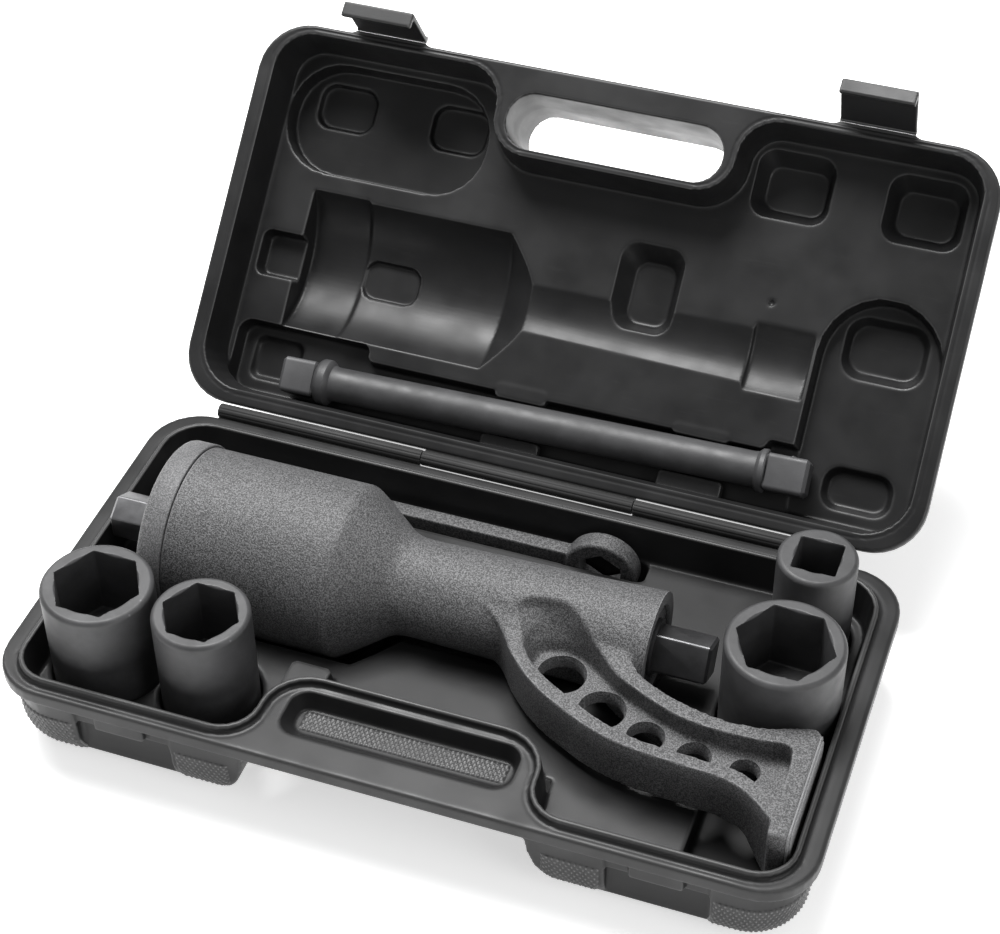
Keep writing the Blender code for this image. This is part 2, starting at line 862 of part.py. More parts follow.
def make_crank(cast, steel, rubber):
    at = (0, CRANK_Y, CRANK_Z)
    half_thick = CRANK_THICK / 2
    half_height = CRANK_HEIGHT / 2
    outline = rounded_box_outline(-half_height, half_height, CRANK_GRIP_X - 8, CRANK_HUB_X, 6.5, 4)
    arm = prism("crank_arm", outline, -half_thick, half_thick, "Y", at)
    hub_at = (CRANK_HUB_X, CRANK_Y, CRANK_Z)
    hub = rod("crank_hub", -CRANK_HUB_THICK / 2, CRANK_HUB_THICK / 2, CRANK_HUB_RADIUS, "Y", 32, hub_at)
    hexagon = prism("crank_hex", regular_outline(6, CRANK_HEX, 90), -15, 15, "Y", hub_at)
    grip_at = (CRANK_GRIP_X, CRANK_Y, CRANK_Z)
    pin_hole = rod("crank_pin_hole", -15, 15, GRIP_PIN_RADIUS + GAP, "Y", 20, grip_at)
    join(arm, [hub])
    finish(cut(arm, [hexagon, pin_hole]), cast)
    axis_at = (CRANK_GRIP_X, 0, CRANK_Z)
    back = CRANK_Y + half_thick
    pin = turned(
        "grip_pin",
        [
            (GRIP_FRONT - 1.8, 0),
            (GRIP_FRONT - 1.8, 6.0),
            (GRIP_FRONT - GAP, 7.0),
            (GRIP_FRONT - GAP, GRIP_PIN_RADIUS),
            (back + GAP, GRIP_PIN_RADIUS),
            (back + GAP, 6.0),
            (back + 2.3, 5.5),
            (back + 2.3, 0),
        ],
        axis="Y",
        segments=20,
        at=axis_at,
    )
    finish(pin, steel)
    grip = turned(
        "crank_grip",
        [
            (GRIP_FRONT, GRIP_PIN_RADIUS + GAP),
            (GRIP_FRONT, 9.5),
            (GRIP_FRONT + 2, GRIP_RADIUS),
            (GRIP_BACK - 4, GRIP_RADIUS),
            (GRIP_BACK, 9.0),
            (GRIP_BACK, GRIP_PIN_RADIUS + GAP),
        ],
        axis="Y",
        segments=24,
        at=axis_at,
        closed=True,
    )
    finish(grip, rubber)


def main():
    for obj in list(bpy.data.objects):
        bpy.data.objects.remove(obj, do_unlink=True)
    case = make_material("case_plastic", (0.03, 0.03, 0.032), 0.42, 0.0)
    cast = make_material("cast_black", (0.05, 0.05, 0.052), 0.55, 0.3)
    phosphate = make_material("black_phosphate", (0.045, 0.046, 0.05), 0.38, 0.6)
    steel = make_material("dark_steel", (0.16, 0.16, 0.165), 0.32, 0.9)
    gear_steel = make_material("gear_steel", (0.42, 0.42, 0.43), 0.3, 1.0)
    bronze = make_material("bronze", (0.45, 0.3, 0.14), 0.35, 1.0)
    rubber = make_material("grip_plastic", (0.02, 0.02, 0.021), 0.6, 0.0)

    hinge = make_empty("lid_hinge_axis", (0, HINGE_Y, HINGE_Z), turn_x=-OPEN_ANGLE)
    make_case_base(case)
    make_hinge_pin(steel)
    make_case_lid(hinge, case)
    make_latch("left", LATCH_LEFT_TILT, hinge, case)
    make_latch("right", LATCH_RIGHT_TILT, hinge, case)

    make_gear_housing(cast)
    make_end_cover(cast)
    make_ring_gear(gear_steel)
    make_input_shaft(steel)
    make_stage_1_carrier(gear_steel)
    make_planets("stage_1", STAGE_1, gear_steel)
    make_output_shaft(steel)
    make_planets("stage_2", STAGE_2, gear_steel)
    make_bearings(bronze, gear_steel)

    make_sockets(phosphate)
    make_extension_bar(hinge, phosphate, gear_steel)
    make_crank(cast, steel, rubber)


main()
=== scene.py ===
"""Looks of the torque multiplier kit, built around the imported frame.

Lengths are in millimetres in the row's frame until a mesh is made. The lid's pieces are drawn closed,
in a frame on the hinge axis with X along the case, -Y towards the front and Z outwards, and LID
carries them to the open lid.
"""

import json
import math

import bmesh
import bpy
from mathutils import Matrix, Vector


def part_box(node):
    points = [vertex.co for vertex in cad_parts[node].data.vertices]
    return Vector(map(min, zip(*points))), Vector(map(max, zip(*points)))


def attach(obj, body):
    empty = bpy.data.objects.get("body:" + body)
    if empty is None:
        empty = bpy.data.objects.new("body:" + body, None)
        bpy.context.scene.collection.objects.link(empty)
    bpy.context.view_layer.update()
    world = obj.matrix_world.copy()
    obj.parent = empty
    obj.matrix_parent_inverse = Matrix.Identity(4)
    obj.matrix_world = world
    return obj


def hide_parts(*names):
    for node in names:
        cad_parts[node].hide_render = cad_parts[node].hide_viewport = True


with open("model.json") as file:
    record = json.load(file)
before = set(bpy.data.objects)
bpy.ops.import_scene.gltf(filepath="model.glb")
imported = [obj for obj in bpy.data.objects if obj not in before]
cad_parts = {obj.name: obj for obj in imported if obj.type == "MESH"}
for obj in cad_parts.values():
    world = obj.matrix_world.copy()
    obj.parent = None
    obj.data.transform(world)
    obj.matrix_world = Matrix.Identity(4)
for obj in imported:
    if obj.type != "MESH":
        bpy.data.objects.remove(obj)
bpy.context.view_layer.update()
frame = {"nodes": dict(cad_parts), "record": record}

MM = 0.001
JOINTS = {joint["name"]: joint for joint in frame["record"]["behaviour"]["joints"]}
HINGE = Vector(JOINTS["lid_hinge"]["pos_m"]) / MM
LID = Matrix.Translation(HINGE) @ Matrix.Rotation(math.radians(JOINTS["lid_hinge"]["range_deg"][0]), 4, "X")
_, AXIS_Y, AXIS_Z = Vector(JOINTS["input_spin"]["pos_m"]) / MM
MULTIPLIER = Matrix.Translation((0, AXIS_Y, AXIS_Z))
# Carries (a, b, level) to x = level, y = b, z = a
SIDEWAYS = Matrix(((0, 0, 1, 0), (0, 1, 0, 0), (1, 0, 0, 0), (0, 0, 0, 1)))

# The case
HALF_LENGTH = 200.0
HALF_DEPTH = 103.8
CORNER = 27.0
SHOULDER_ACROSS = 18.5
SHOULDER_HIGH = 22.0
FLAT_INSET = 24.0
RIM_Z = 50.0
LID_HEIGHT = 52.0
LID_DECK = 27.0
MOUTH_SIDE = 191.2
MOUTH_FRONT = -99.0
MOUTH_BACK = 95.6
MOUTH_STEP_X = 65.3
MOUTH_STEP = 42.8
CATCH_X = 131.5
CATCH_HALF_WIDTH = 24.5
FOOT_END_X = 104.0
FOOT_END_WIDTH = 34.5
FOOT_END_HEIGHT = 37.5
FOOT_END_TOP = 36.0
KNURL_TOP = 20.0
KNURL_STEP = 0.6
KNURL_PITCH = 2.7
KNURL_RISE = 0.9
KNURL_PROUD = 0.5
KNUCKLE_RADIUS = 3.9
LATCH_HALF_WIDTH = 19.5
LATCH_PIVOT_Y = -216.2
LATCH_PIVOT_Z = 3.5
LATCH_TILTS = {"left": 82.0, "right": 66.0}

# The multiplier and the crank
ARM_TOP = 65.6
ARM_BOTTOM = 38.0
WEB_BOTTOM = 46.6
FOOT_LOW = 24.0
DRUM_END = -142.9
DRUM_RADIUS = 43.6
NECK_END = 96.0
PLANET_ORBIT = 18.15
GEAR_MODULE = 1.1
SUN_TEETH = 9
SQUARE_ACROSS = 19.05
SOCKET_DRIVE = 19.4
HUB_RADIUS = 19.0
GRIP_X = -173.0


# Outlines, as lists of (x, y, radius) corners anticlockwise, or of (x, y) points


def box_corners(x_low, x_high, y_low, y_high, radius):
    corners = ((x_low, y_low), (x_high, y_low), (x_high, y_high), (x_low, y_high))
    return [(x, y, radius) for x, y in corners]


def rounded(corners, steps=6):
    """The polygon with each corner turned into an arc that touches both of its sides."""
    outline = []
    for index, (x, y, radius) in enumerate(corners):
        corner = Vector((x, y))
        before = (Vector(corners[index - 1][:2]) - corner).normalized()
        after = (Vector(corners[(index + 1) % len(corners)][:2]) - corner).normalized()
        half = before.angle(after) / 2
        centre = corner + (before + after).normalized() * radius / math.sin(half)
        start = corner + before * radius / math.tan(half) - centre
        sweep = start.angle_signed(corner + after * radius / math.tan(half) - centre)
        for step in range(steps + 1):
            point = start.copy()
            point.rotate(Matrix.Rotation(-sweep * step / steps, 2))
            outline.append(tuple(centre + point))
    return outline


def grown(corners, distance):
    """The corners moved outwards, with the arcs kept parallel."""
    moved = []
    for index, (x, y, radius) in enumerate(corners):
        corner = Vector((x, y))
        before = (corner - Vector(corners[index - 1][:2])).normalized()
        after = (Vector(corners[(index + 1) % len(corners)][:2]) - corner).normalized()
        out_1 = Vector((before.y, -before.x))
        out_2 = Vector((after.y, -after.x))
        spot = corner + (out_1 + out_2) * distance / (1 + out_1.dot(out_2))
        bend = distance if before.cross(after) > 0 else -distance
        moved.append((spot.x, spot.y, max(radius + bend, 0.4)))
    return moved


def mouth_corners(inset, front, back):
    """The case's mouth, which steps back in the middle of the front to go round the grip."""
    corners = [
        (-MOUTH_SIDE, front, 20.0),
        (-MOUTH_STEP_X, front, 20.0),
        (-MOUTH_STEP_X, front + MOUTH_STEP, 20.0),
        (MOUTH_STEP_X, front + MOUTH_STEP, 20.0),
        (MOUTH_STEP_X, front, 20.0),
        (MOUTH_SIDE, front, 20.0),
        (MOUTH_SIDE, back, 24.0),
        (-MOUTH_SIDE, back, 24.0),
    ]
    return grown(corners, -inset)


def regular(flats, across, turn=0.0):
    radius = across / 2 / math.cos(math.pi / flats)
    first = math.radians(turn) + math.pi / flats
    angles = [first + 2 * math.pi * k / flats for k in range(flats)]
    return [(radius * math.cos(angle), radius * math.sin(angle)) for angle in angles]


def smooth_curve(points, steps=8):
    """A Catmull-Rom curve through points of any dimension."""
    spots = [Vector(point) for point in points]
    spots = [2 * spots[0] - spots[1], *spots, 2 * spots[-1] - spots[-2]]
    curve = []
    for p0, p1, p2, p3 in zip(spots, spots[1:], spots[2:], spots[3:]):
        for step in range(steps):
            t = step / steps
            cubic = (3 * p1 - p0 - 3 * p2 + p3) * t**3
            curve.append((2 * p1 + (p2 - p0) * t + (2 * p0 - 5 * p1 + 4 * p2 - p3) * t**2 + cubic) / 2)
    return [*curve, spots[-2]]


def arc(centre_a, centre_b, radius_a, radius_b, start, end, steps):
    """Points on an ellipse's arc, by angles in degrees."""
    angles = [math.radians(start + (end - start) * k / steps) for k in range(steps + 1)]
    return [(centre_a + radius_a * math.cos(t), centre_b + radius_b * math.sin(t)) for t in angles]


# Solids


def in_metres(matrix):
    moved = matrix.copy()
    moved.translation = matrix.translation * MM
    return moved


def object_from(name, geometry, matrix=None):
    bmesh.ops.recalc_face_normals(geometry, faces=geometry.faces)
    mesh = bpy.data.meshes.new(name)
    geometry.to_mesh(mesh)
    geometry.free()
    obj = bpy.data.objects.new(name, mesh)
    bpy.context.collection.objects.link(obj)
    if matrix:
        mesh.transform(in_metres(matrix))
    return obj


def loft(name, rings, matrix=None, closed=False):
    """Joins rings of equally many (x, y, z) points. A ring of one point is a pole."""
    geometry = bmesh.new()
    rows = [[geometry.verts.new([MM * c for c in point]) for point in ring] for ring in rings]
    pairs = list(zip(rows, rows[1:]))
    if closed:
        pairs.append((rows[-1], rows[0]))
    for low, high in pairs:
        count = max(len(low), len(high))
        for k in range(count):
            after = k + 1
            face = [low[k % len(low)], low[after % len(low)], high[after % len(high)], high[k % len(high)]]
            geometry.faces.new(dict.fromkeys(face))
    if not closed:
        for row in (rows[0], rows[-1]):
            if len(row) > 2:
                geometry.faces.new(row)
    return object_from(name, geometry, matrix)


def on_axis(axis, along, a, b):
    return {"X": (along, a, b), "Y": (b, along, a), "Z": (a, b, along)}[axis]


def prism(name, outline, low, high, axis="Z", matrix=None):
    rings = [[on_axis(axis, level, a, b) for a, b in outline] for level in (low, high)]
    return loft(name, rings, matrix)


def stack(name, layers, axis="Z", matrix=None):
    """A loft through (level, outline) layers."""
    rings = [[on_axis(axis, level, a, b) for a, b in outline] for level, outline in layers]
    return loft(name, rings, matrix)


def pocket(name, mouth, floor, top, bottom, matrix=None):
    """A cutter from a mouth outline at level top to a floor outline at level bottom."""
    above = top - 3 if bottom > top else top + 3
    wide = rounded(mouth)
    return stack(name, [(above, wide), (top, wide), (bottom, rounded(floor))], "Z", matrix)


def turned(name, profile, axis="X", segments=96, matrix=None, closed=False):
    """A profile of (along, radius) turned about an axis."""
    rings = []
    for along, radius in profile:
        count = segments if radius > 0 else 1
        angles = [2 * math.pi * k / segments for k in range(count)]
        rings.append([on_axis(axis, along, radius * math.cos(t), radius * math.sin(t)) for t in angles])
    return loft(name, rings, matrix, closed)


def block(name, x, y, z, radius=2.0, matrix=None):
    """A box with rounded upright edges, from pairs of limits."""
    return prism(name, rounded(box_corners(*x, *y, radius), 4), z[0], z[1], "Z", matrix)


def bake(obj):
    """Applies the modifiers."""
    graph = bpy.context.evaluated_depsgraph_get()
    mesh = bpy.data.meshes.new_from_object(obj.evaluated_get(graph))
    obj.modifiers.clear()
    old = obj.data
    obj.data = mesh
    bpy.data.meshes.remove(old)
    return obj


def drop(objects):
    for obj in objects:
        bpy.data.objects.remove(obj, do_unlink=True)


def combined(obj, others, operation, solver="MANIFOLD"):
    for other in others:
        modifier = obj.modifiers.new("combine", "BOOLEAN")
        modifier.operation = operation
        modifier.solver = solver
        modifier.object = other
    bake(obj)
    drop(others)
    return obj


def cut(obj, cutters, solver="MANIFOLD"):
    return combined(obj, cutters, "DIFFERENCE", solver)


def joined(obj, pieces, solver="MANIFOLD"):
    return combined(obj, pieces, "UNION", solver)


def softened(obj, voxel, rounds, factor=0.5):
    """Remeshes a solid on an even grid and smooths it, which rounds its edges like moulding or casting."""
    remesh = obj.modifiers.new("remesh", "REMESH")
    remesh.mode = "VOXEL"
    remesh.voxel_size = voxel * MM
    smooth = obj.modifiers.new("smooth", "SMOOTH")
    smooth.factor = factor
    smooth.iterations = rounds
    return bake(obj)


def shaded(obj, material, body, node=None, angle=35.0):
    obj.data.materials.clear()
    obj.data.materials.append(material)
    obj.data.shade_smooth()
    obj.data.set_sharp_from_angle(angle=math.radians(angle))
    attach(obj, body)
    if node:
        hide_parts(*([node] if isinstance(node, str) else node))
    return obj


# Materials


def new_material(name, colour, roughness, metallic=0.0, specular=0.5):
    material = bpy.data.materials.new(name)
    material.use_nodes = True
    shader = material.node_tree.nodes["Principled BSDF"]
    shader.inputs["Base Color"].default_value = (*colour, 1.0)
    shader.inputs["Roughness"].default_value = roughness
    shader.inputs["Metallic"].default_value = metallic
    shader.inputs["Specular IOR Level"].default_value = specular
    return material, material.node_tree, shader


def node_of(tree, kind, **values):
    node = tree.nodes.new(kind)
    for name, value in values.items():
        if name in node.inputs:
            node.inputs[name].default_value = value
        else:
            setattr(node, name, value)
    return node


def noise_of(tree, scale, detail=3.0, roughness=0.5, stretch=None):
    coordinates = node_of(tree, "ShaderNodeTexCoord").outputs["Object"]
    if stretch:
        mapping = node_of(tree, "ShaderNodeMapping")
        mapping.inputs["Scale"].default_value = stretch
        tree.links.new(coordinates, mapping.inputs["Vector"])
        coordinates = mapping.outputs["Vector"]
    noise = node_of(tree, "ShaderNodeTexNoise", Scale=scale, Detail=detail, Roughness=roughness)
    tree.links.new(coordinates, noise.inputs["Vector"])
    return noise.outputs["Fac"]


def ranged(tree, value, low, high, to_low, to_high):
    node = tree.nodes.new("ShaderNodeMapRange")
    for name, number in (("From Min", low), ("From Max", high), ("To Min", to_low), ("To Max", to_high)):
        node.inputs[name].default_value = number
    tree.links.new(value, node.inputs["Value"])
    return node.outputs["Result"]


def mixed(tree, share, first, second):
    node = node_of(tree, "ShaderNodeMix", data_type="RGBA")
    tree.links.new(share, node.inputs["Factor"])
    for socket, value in (("A", first), ("B", second)):
        target = [i for i in node.inputs if i.name == socket and i.type == "RGBA"][0]
        if isinstance(value, tuple):
            target.default_value = (*value, 1.0)
        else:
            tree.links.new(value, target)
    return [o for o in node.outputs if o.type == "RGBA"][0]


def worn_and_highlit_edges(tree, low, high):
    """Near 1 on the convex edges of a dense mesh, where the materials paint lighter edges, partly as wear
    and partly as painted highlight.
    """
    point = node_of(tree, "ShaderNodeNewGeometry").outputs["Pointiness"]
    return ranged(tree, point, low, high, 0.0, 1.0)


def bumped(tree, shader, heights):
    """Chains bumps of (height, strength, distance in mm)."""
    normal = None
    for height, strength, distance in heights:
        bump = node_of(tree, "ShaderNodeBump", Strength=strength, Distance=distance * MM)
        tree.links.new(height, bump.inputs["Height"])
        if normal:
            tree.links.new(normal, bump.inputs["Normal"])
        normal = bump.outputs["Normal"]
    tree.links.new(normal, shader.inputs["Normal"])


def plastic(name, dark, light, edge, smoothest=0.34, roughest=0.50):
    material, tree, shader = new_material(name, dark, 0.42, specular=0.32)
    cloud = ranged(tree, noise_of(tree, 26.0, 4.0), 0.35, 0.7, 0.0, 1.0)
    scuff = ranged(tree, noise_of(tree, 60.0, 6.0, 0.6, (1.0, 9.0, 3.0)), 0.60, 0.72, 0.0, 0.35)
    colour = mixed(tree, cloud, dark, light)
    colour = mixed(tree, scuff, colour, tuple(1.5 * c for c in light))
    # Convex edges take the edge colour, partly as wear and partly as painted highlight.
    colour = mixed(tree, worn_and_highlit_edges(tree, 0.515, 0.60), colour, edge)
    tree.links.new(colour, shader.inputs["Base Color"])
    rough = ranged(tree, noise_of(tree, 45.0, 5.0), 0.3, 0.7, smoothest, roughest)
    tree.links.new(rough, shader.inputs["Roughness"])
    grain = noise_of(tree, 1500.0, 2.0)
    bumped(tree, shader, [(noise_of(tree, 18.0, 2.0), 0.25, 0.6), (grain, 0.16, 0.12)])
    return material


def cast(name, dark, light, grain_scale, strength):
    """Sandblasted casting: two grains of speckle, the finer with painted glints, and polished high spots
    whose lightening is partly painted highlight.
    """
    material, tree, shader = new_material(name, dark, 0.55, 0.15)
    coarse = noise_of(tree, grain_scale, 3.0, 0.6)
    fine = noise_of(tree, grain_scale * 2.3, 2.0, 0.7)
    speckle = ranged(tree, coarse, 0.42, 0.62, 0.0, 1.0)
    colour = mixed(tree, speckle, dark, light)
    glint = ranged(tree, fine, 0.58, 0.75, 0.0, 0.8)
    colour = mixed(tree, glint, colour, tuple(min(1.9 * c, 1.0) for c in light))
    # High spots and edges are lightened, partly as wear and partly as painted highlight.
    colour = mixed(tree, worn_and_highlit_edges(tree, 0.52, 0.62), colour, tuple(1.7 * c for c in light))
    tree.links.new(colour, shader.inputs["Base Color"])
    tree.links.new(ranged(tree, fine, 0.3, 0.7, 0.42, 0.66), shader.inputs["Roughness"])
    waves = noise_of(tree, 40.0, 2.0)
    bumped(tree, shader, [(waves, 0.3, 1.0), (coarse, strength, 0.35), (fine, strength, 0.2)])
    return material


def coated(name, dark, light, roughness, metallic, grain_scale=900.0, edge=None):
    """A chemical black or machined steel: faint mottling, fine grain and brighter edges, partly wear and
    partly painted highlight.
    """
    material, tree, shader = new_material(name, dark, roughness, metallic)
    mottle = ranged(tree, noise_of(tree, 55.0, 5.0, 0.65), 0.32, 0.7, 0.0, 1.0)
    colour = mixed(tree, mottle, dark, light)
    # Convex edges are lightened, partly as wear and partly as painted highlight.
    edge = edge or tuple(min(2.2 * c, 1.0) for c in light)
    colour = mixed(tree, worn_and_highlit_edges(tree, 0.53, 0.66), colour, edge)
    tree.links.new(colour, shader.inputs["Base Color"])
    rough = ranged(tree, noise_of(tree, 120.0, 4.0), 0.3, 0.7, roughness - 0.07, roughness + 0.08)
    tree.links.new(rough, shader.inputs["Roughness"])
    bumped(tree, shader, [(noise_of(tree, grain_scale, 2.0), 0.22, 0.12)])
    return material


def machined(name, dark, light, roughness, along):
    """Turned or ground steel with fine lines across the given stretch."""
    material, tree, shader = new_material(name, dark, roughness, 0.95)
    lines = noise_of(tree, 260.0, 3.0, 0.6, along)
    colour = mixed(tree, ranged(tree, lines, 0.3, 0.7, 0.0, 1.0), dark, light)
    tree.links.new(colour, shader.inputs["Base Color"])
    rough = ranged(tree, lines, 0.3, 0.7, roughness - 0.06, roughness + 0.1)
    tree.links.new(rough, shader.inputs["Roughness"])
    bumped(tree, shader, [(lines, 0.15, 0.08)])
    return material


CASE = plastic("case_black", (0.008, 0.008, 0.0083), (0.014, 0.014, 0.0144), (0.10, 0.10, 0.10))
PAD = plastic("case_knurl", (0.026, 0.026, 0.0265), (0.040, 0.040, 0.0405), (0.22, 0.22, 0.22))
CAST = cast("cast_blasted", (0.028, 0.028, 0.029), (0.150, 0.150, 0.153), 1350.0, 0.8)
CRANK = cast("crank_blasted", (0.020, 0.020, 0.021), (0.110, 0.110, 0.112), 1250.0, 0.8)
PHOSPHATE = coated("phosphate_black", (0.028, 0.028, 0.029), (0.050, 0.050, 0.052), 0.52, 0.0)
DRIVE = coated("drive_steel", (0.060, 0.060, 0.062), (0.10, 0.10, 0.103), 0.34, 0.7)
STEEL = machined("ground_steel", (0.30, 0.30, 0.31), (0.46, 0.46, 0.47), 0.28, (8.0, 1.0, 1.0))
BRONZE = machined("sintered_bronze", (0.38, 0.24, 0.10), (0.52, 0.35, 0.17), 0.34, (8.0, 1.0, 1.0))
# The hinge strips take the case's plastic darker and with dimmer edges, as painted shade that keeps
# highlights off their ridges; they are also rougher.
STRIP_PAINTED_SHADE = ((0.006, 0.006, 0.0062), (0.010, 0.010, 0.0103), (0.03, 0.03, 0.03))
STRIP = plastic("hinge_black", *STRIP_PAINTED_SHADE, 0.6, 0.75)
GRIP = plastic("grip_black", (0.012, 0.012, 0.0125), (0.02, 0.02, 0.0205), (0.06, 0.06, 0.06))


# The case


def corner_radius(inset):
    return CORNER - 0.45 * inset


def shell_outline(inset):
    half_x = HALF_LENGTH - inset
    half_y = HALF_DEPTH - inset
    return rounded(box_corners(-half_x, half_x, -half_y, half_y, corner_radius(inset)), 8)


def shell(name, height, direction, matrix):
    """The case's outside from its rim to its flat face."""
    flange = [(1.2, 0.0), (0.35, 0.35), (0.0, 1.2), (0.0, 6.8), (0.35, 7.65), (1.2, 8.0), (4.0, 8.3)]
    shoulder = arc(0, height - SHOULDER_HIGH, SHOULDER_ACROSS, SHOULDER_HIGH, 0, 90, 12)
    profile = [*flange, *[(FLAT_INSET - a, b) for a, b in shoulder]]
    return stack(name, [(direction * level, shell_outline(inset)) for inset, level in profile], "Z", matrix)


def rim_groove(mouth, outwards, low, high):
    """A cutter for a groove round the mouth, between two distances from it and two levels."""
    near, far = [rounded(grown(mouth, distance), 6) for distance in outwards]
    levels = ((near, low), (near, high), (far, high), (far, low))
    return loft("rim_groove", [[(x, y, z) for x, y in outline] for outline, z in levels], closed=True)


def lid_box(name, x, u, levels, radius, shrink=0.0):
    """A lid pocket by its x and u limits, u being the distance from the hinge towards the front."""
    corners = box_corners(*x, -u[1], -u[0], radius)
    return pocket(name, corners, grown(corners, -shrink), *levels)


def lid_pad(name, x, u, floor_x, floor_u, levels, radius):
    """A lid pocket whose mouth and floor have their own limits."""
    mouth = box_corners(*x, -u[1], -u[0], radius)
    floor = box_corners(*floor_x, -floor_u[1], -floor_u[0], radius - 2)
    return pocket(name, mouth, floor, *levels)


# The lid's pockets with even walls, as x limits, u limits, levels, radius and taper
LID_BOXES = [
    ((-184, -149), (78.4, 103.7), (LID_DECK, 37), 5, 1.5),
    ((-129.7, -96), (79, 101.5), (40, 49.4), 8, 1.0),
    ((-187, -72.5), (139.3, 199.8), (LID_DECK, 39.2), 28, 1.0),
    ((-176, -142), (165.5, 191.5), (38, 44), 9, 1.5),
    ((-110, -77), (165.5, 191.5), (38, 44), 9, 1.5),
]
# Its pockets with sloping walls, as x and u limits of the mouth, then of the floor, levels and radius
LID_PADS = [
    ((72.3, 113.4), (163, 199.3), (78, 110), (168.7, 192.3), (LID_DECK, 38.5), 9),
    ((141.3, 182.4), (163, 199.3), (147, 178), (168.7, 192.3), (LID_DECK, 38.5), 9),
    ((12.8, 47.6), (89, 137.3), (20.7, 42.5), (96, 129), (LID_DECK, 39.0), 9),
    ((135.7, 179.5), (91.5, 125), (139, 176.5), (96, 121), (38.5, 44.5), 11),
    ((141.4, 178.3), (23.6, 46.4), (144.5, 175.5), (26.5, 43.5), (38.5, 44), 9),
    ((-178, -148), (22, 48), (-175, -151), (25, 45), (37, 41), 6),
]


def make_lid():
    lid = shell("lid_shell", LID_HEIGHT, 1, Matrix.Translation((0, -HINGE.y, 0)))
    mouth = mouth_corners(0, MOUTH_FRONT - HINGE.y, MOUTH_BACK - HINGE.y)
    cavity = pocket("cavity", mouth, grown(mouth, -3.2), 0, LID_DECK)
    cutters = [cavity, rim_groove(mouth, (1.9, 3.1), -2, 0.9)]
    hole = box_corners(-57.3, 57.3, -197.3, -169.7, 13.6)
    straight = rounded(hole, 8)
    cutters.append(stack("hole", [(-2, rounded(grown(hole, 1.2), 8)), (26, straight), (56, straight)]))
    axis = Matrix.Translation((0, AXIS_Y - HINGE.y, AXIS_Z - HINGE.z))
    profile = [(-162, 0), (-161.5, 46), (-130, 46), (-128, 44.6), (-48, 44.6), (-30, 27.4)]
    profile += [(90, 28.2), (91.5, 30.4), (122.5, 30.4), (123.5, 0)]
    cutters.append(turned("body_pocket", profile, matrix=axis))
    for x, u, levels, radius, shrink in LID_BOXES:
        cutters.append(lid_box("box", x, u, levels, radius, shrink))
    right = [(124.6, -15, 6), (124.6, -134.2, 33.5), (189, -134.2, 33.5), (189, -15, 14)]
    cutters.append(pocket("right_recess", right, grown(right, -1.6), LID_DECK, 38.5))
    for x, u, floor_x, floor_u, levels, radius in LID_PADS:
        cutters.append(lid_pad("pad", x, u, floor_x, floor_u, levels, radius))
    groove = [(-185, -53.5, 8), (-109, -53.5, 5), (-109, -44.6, 3), (109, -45.6, 3)]
    groove += [(112, -51, 3), (140, -51, 5), (140, -14.2, 5), (-185, -14.2, 8)]
    cutters.append(pocket("bar_groove", groove, grown(groove, -1.4), LID_DECK, 37.8))
    dimple_at = Matrix.Translation((96, -120, 0))
    cutters.append(turned("dimple", [(26, 0), (26, 2.0), (28.6, 1.6), (28.6, 0)], "Z", 24, dimple_at))
    panel = box_corners(-150, 150, -178, -38, 14)
    cutters.append(pocket("back_panel", panel, grown(panel, -1.2), LID_HEIGHT, LID_HEIGHT - 1.1))
    cut(lid, cutters)
    tabs = []
    for k, (x_low, x_high, upper) in enumerate(((-36, -8, 41.6), (61, 91, 43.9))):
        tab = box_corners(x_low, x_high, -49, -upper, 2.2)
        tabs.append(stack(f"tab_up_{k}", [(26.8, rounded(tab)), (31.5, rounded(grown(tab, 0.6)))]))
        tab = box_corners(x_low - 2, x_high + 2, -(upper - 20.4), -11, 2.2)
        tabs.append(stack(f"tab_low_{k}", [(26.8, rounded(tab)), (31.5, rounded(grown(tab, 0.6)))]))
    joined(lid, tabs)
    softened(lid, 0.85, 2)
    lid.data.transform(in_metres(LID))
    shaded(lid, CASE, "lid", "case_lid", 60)


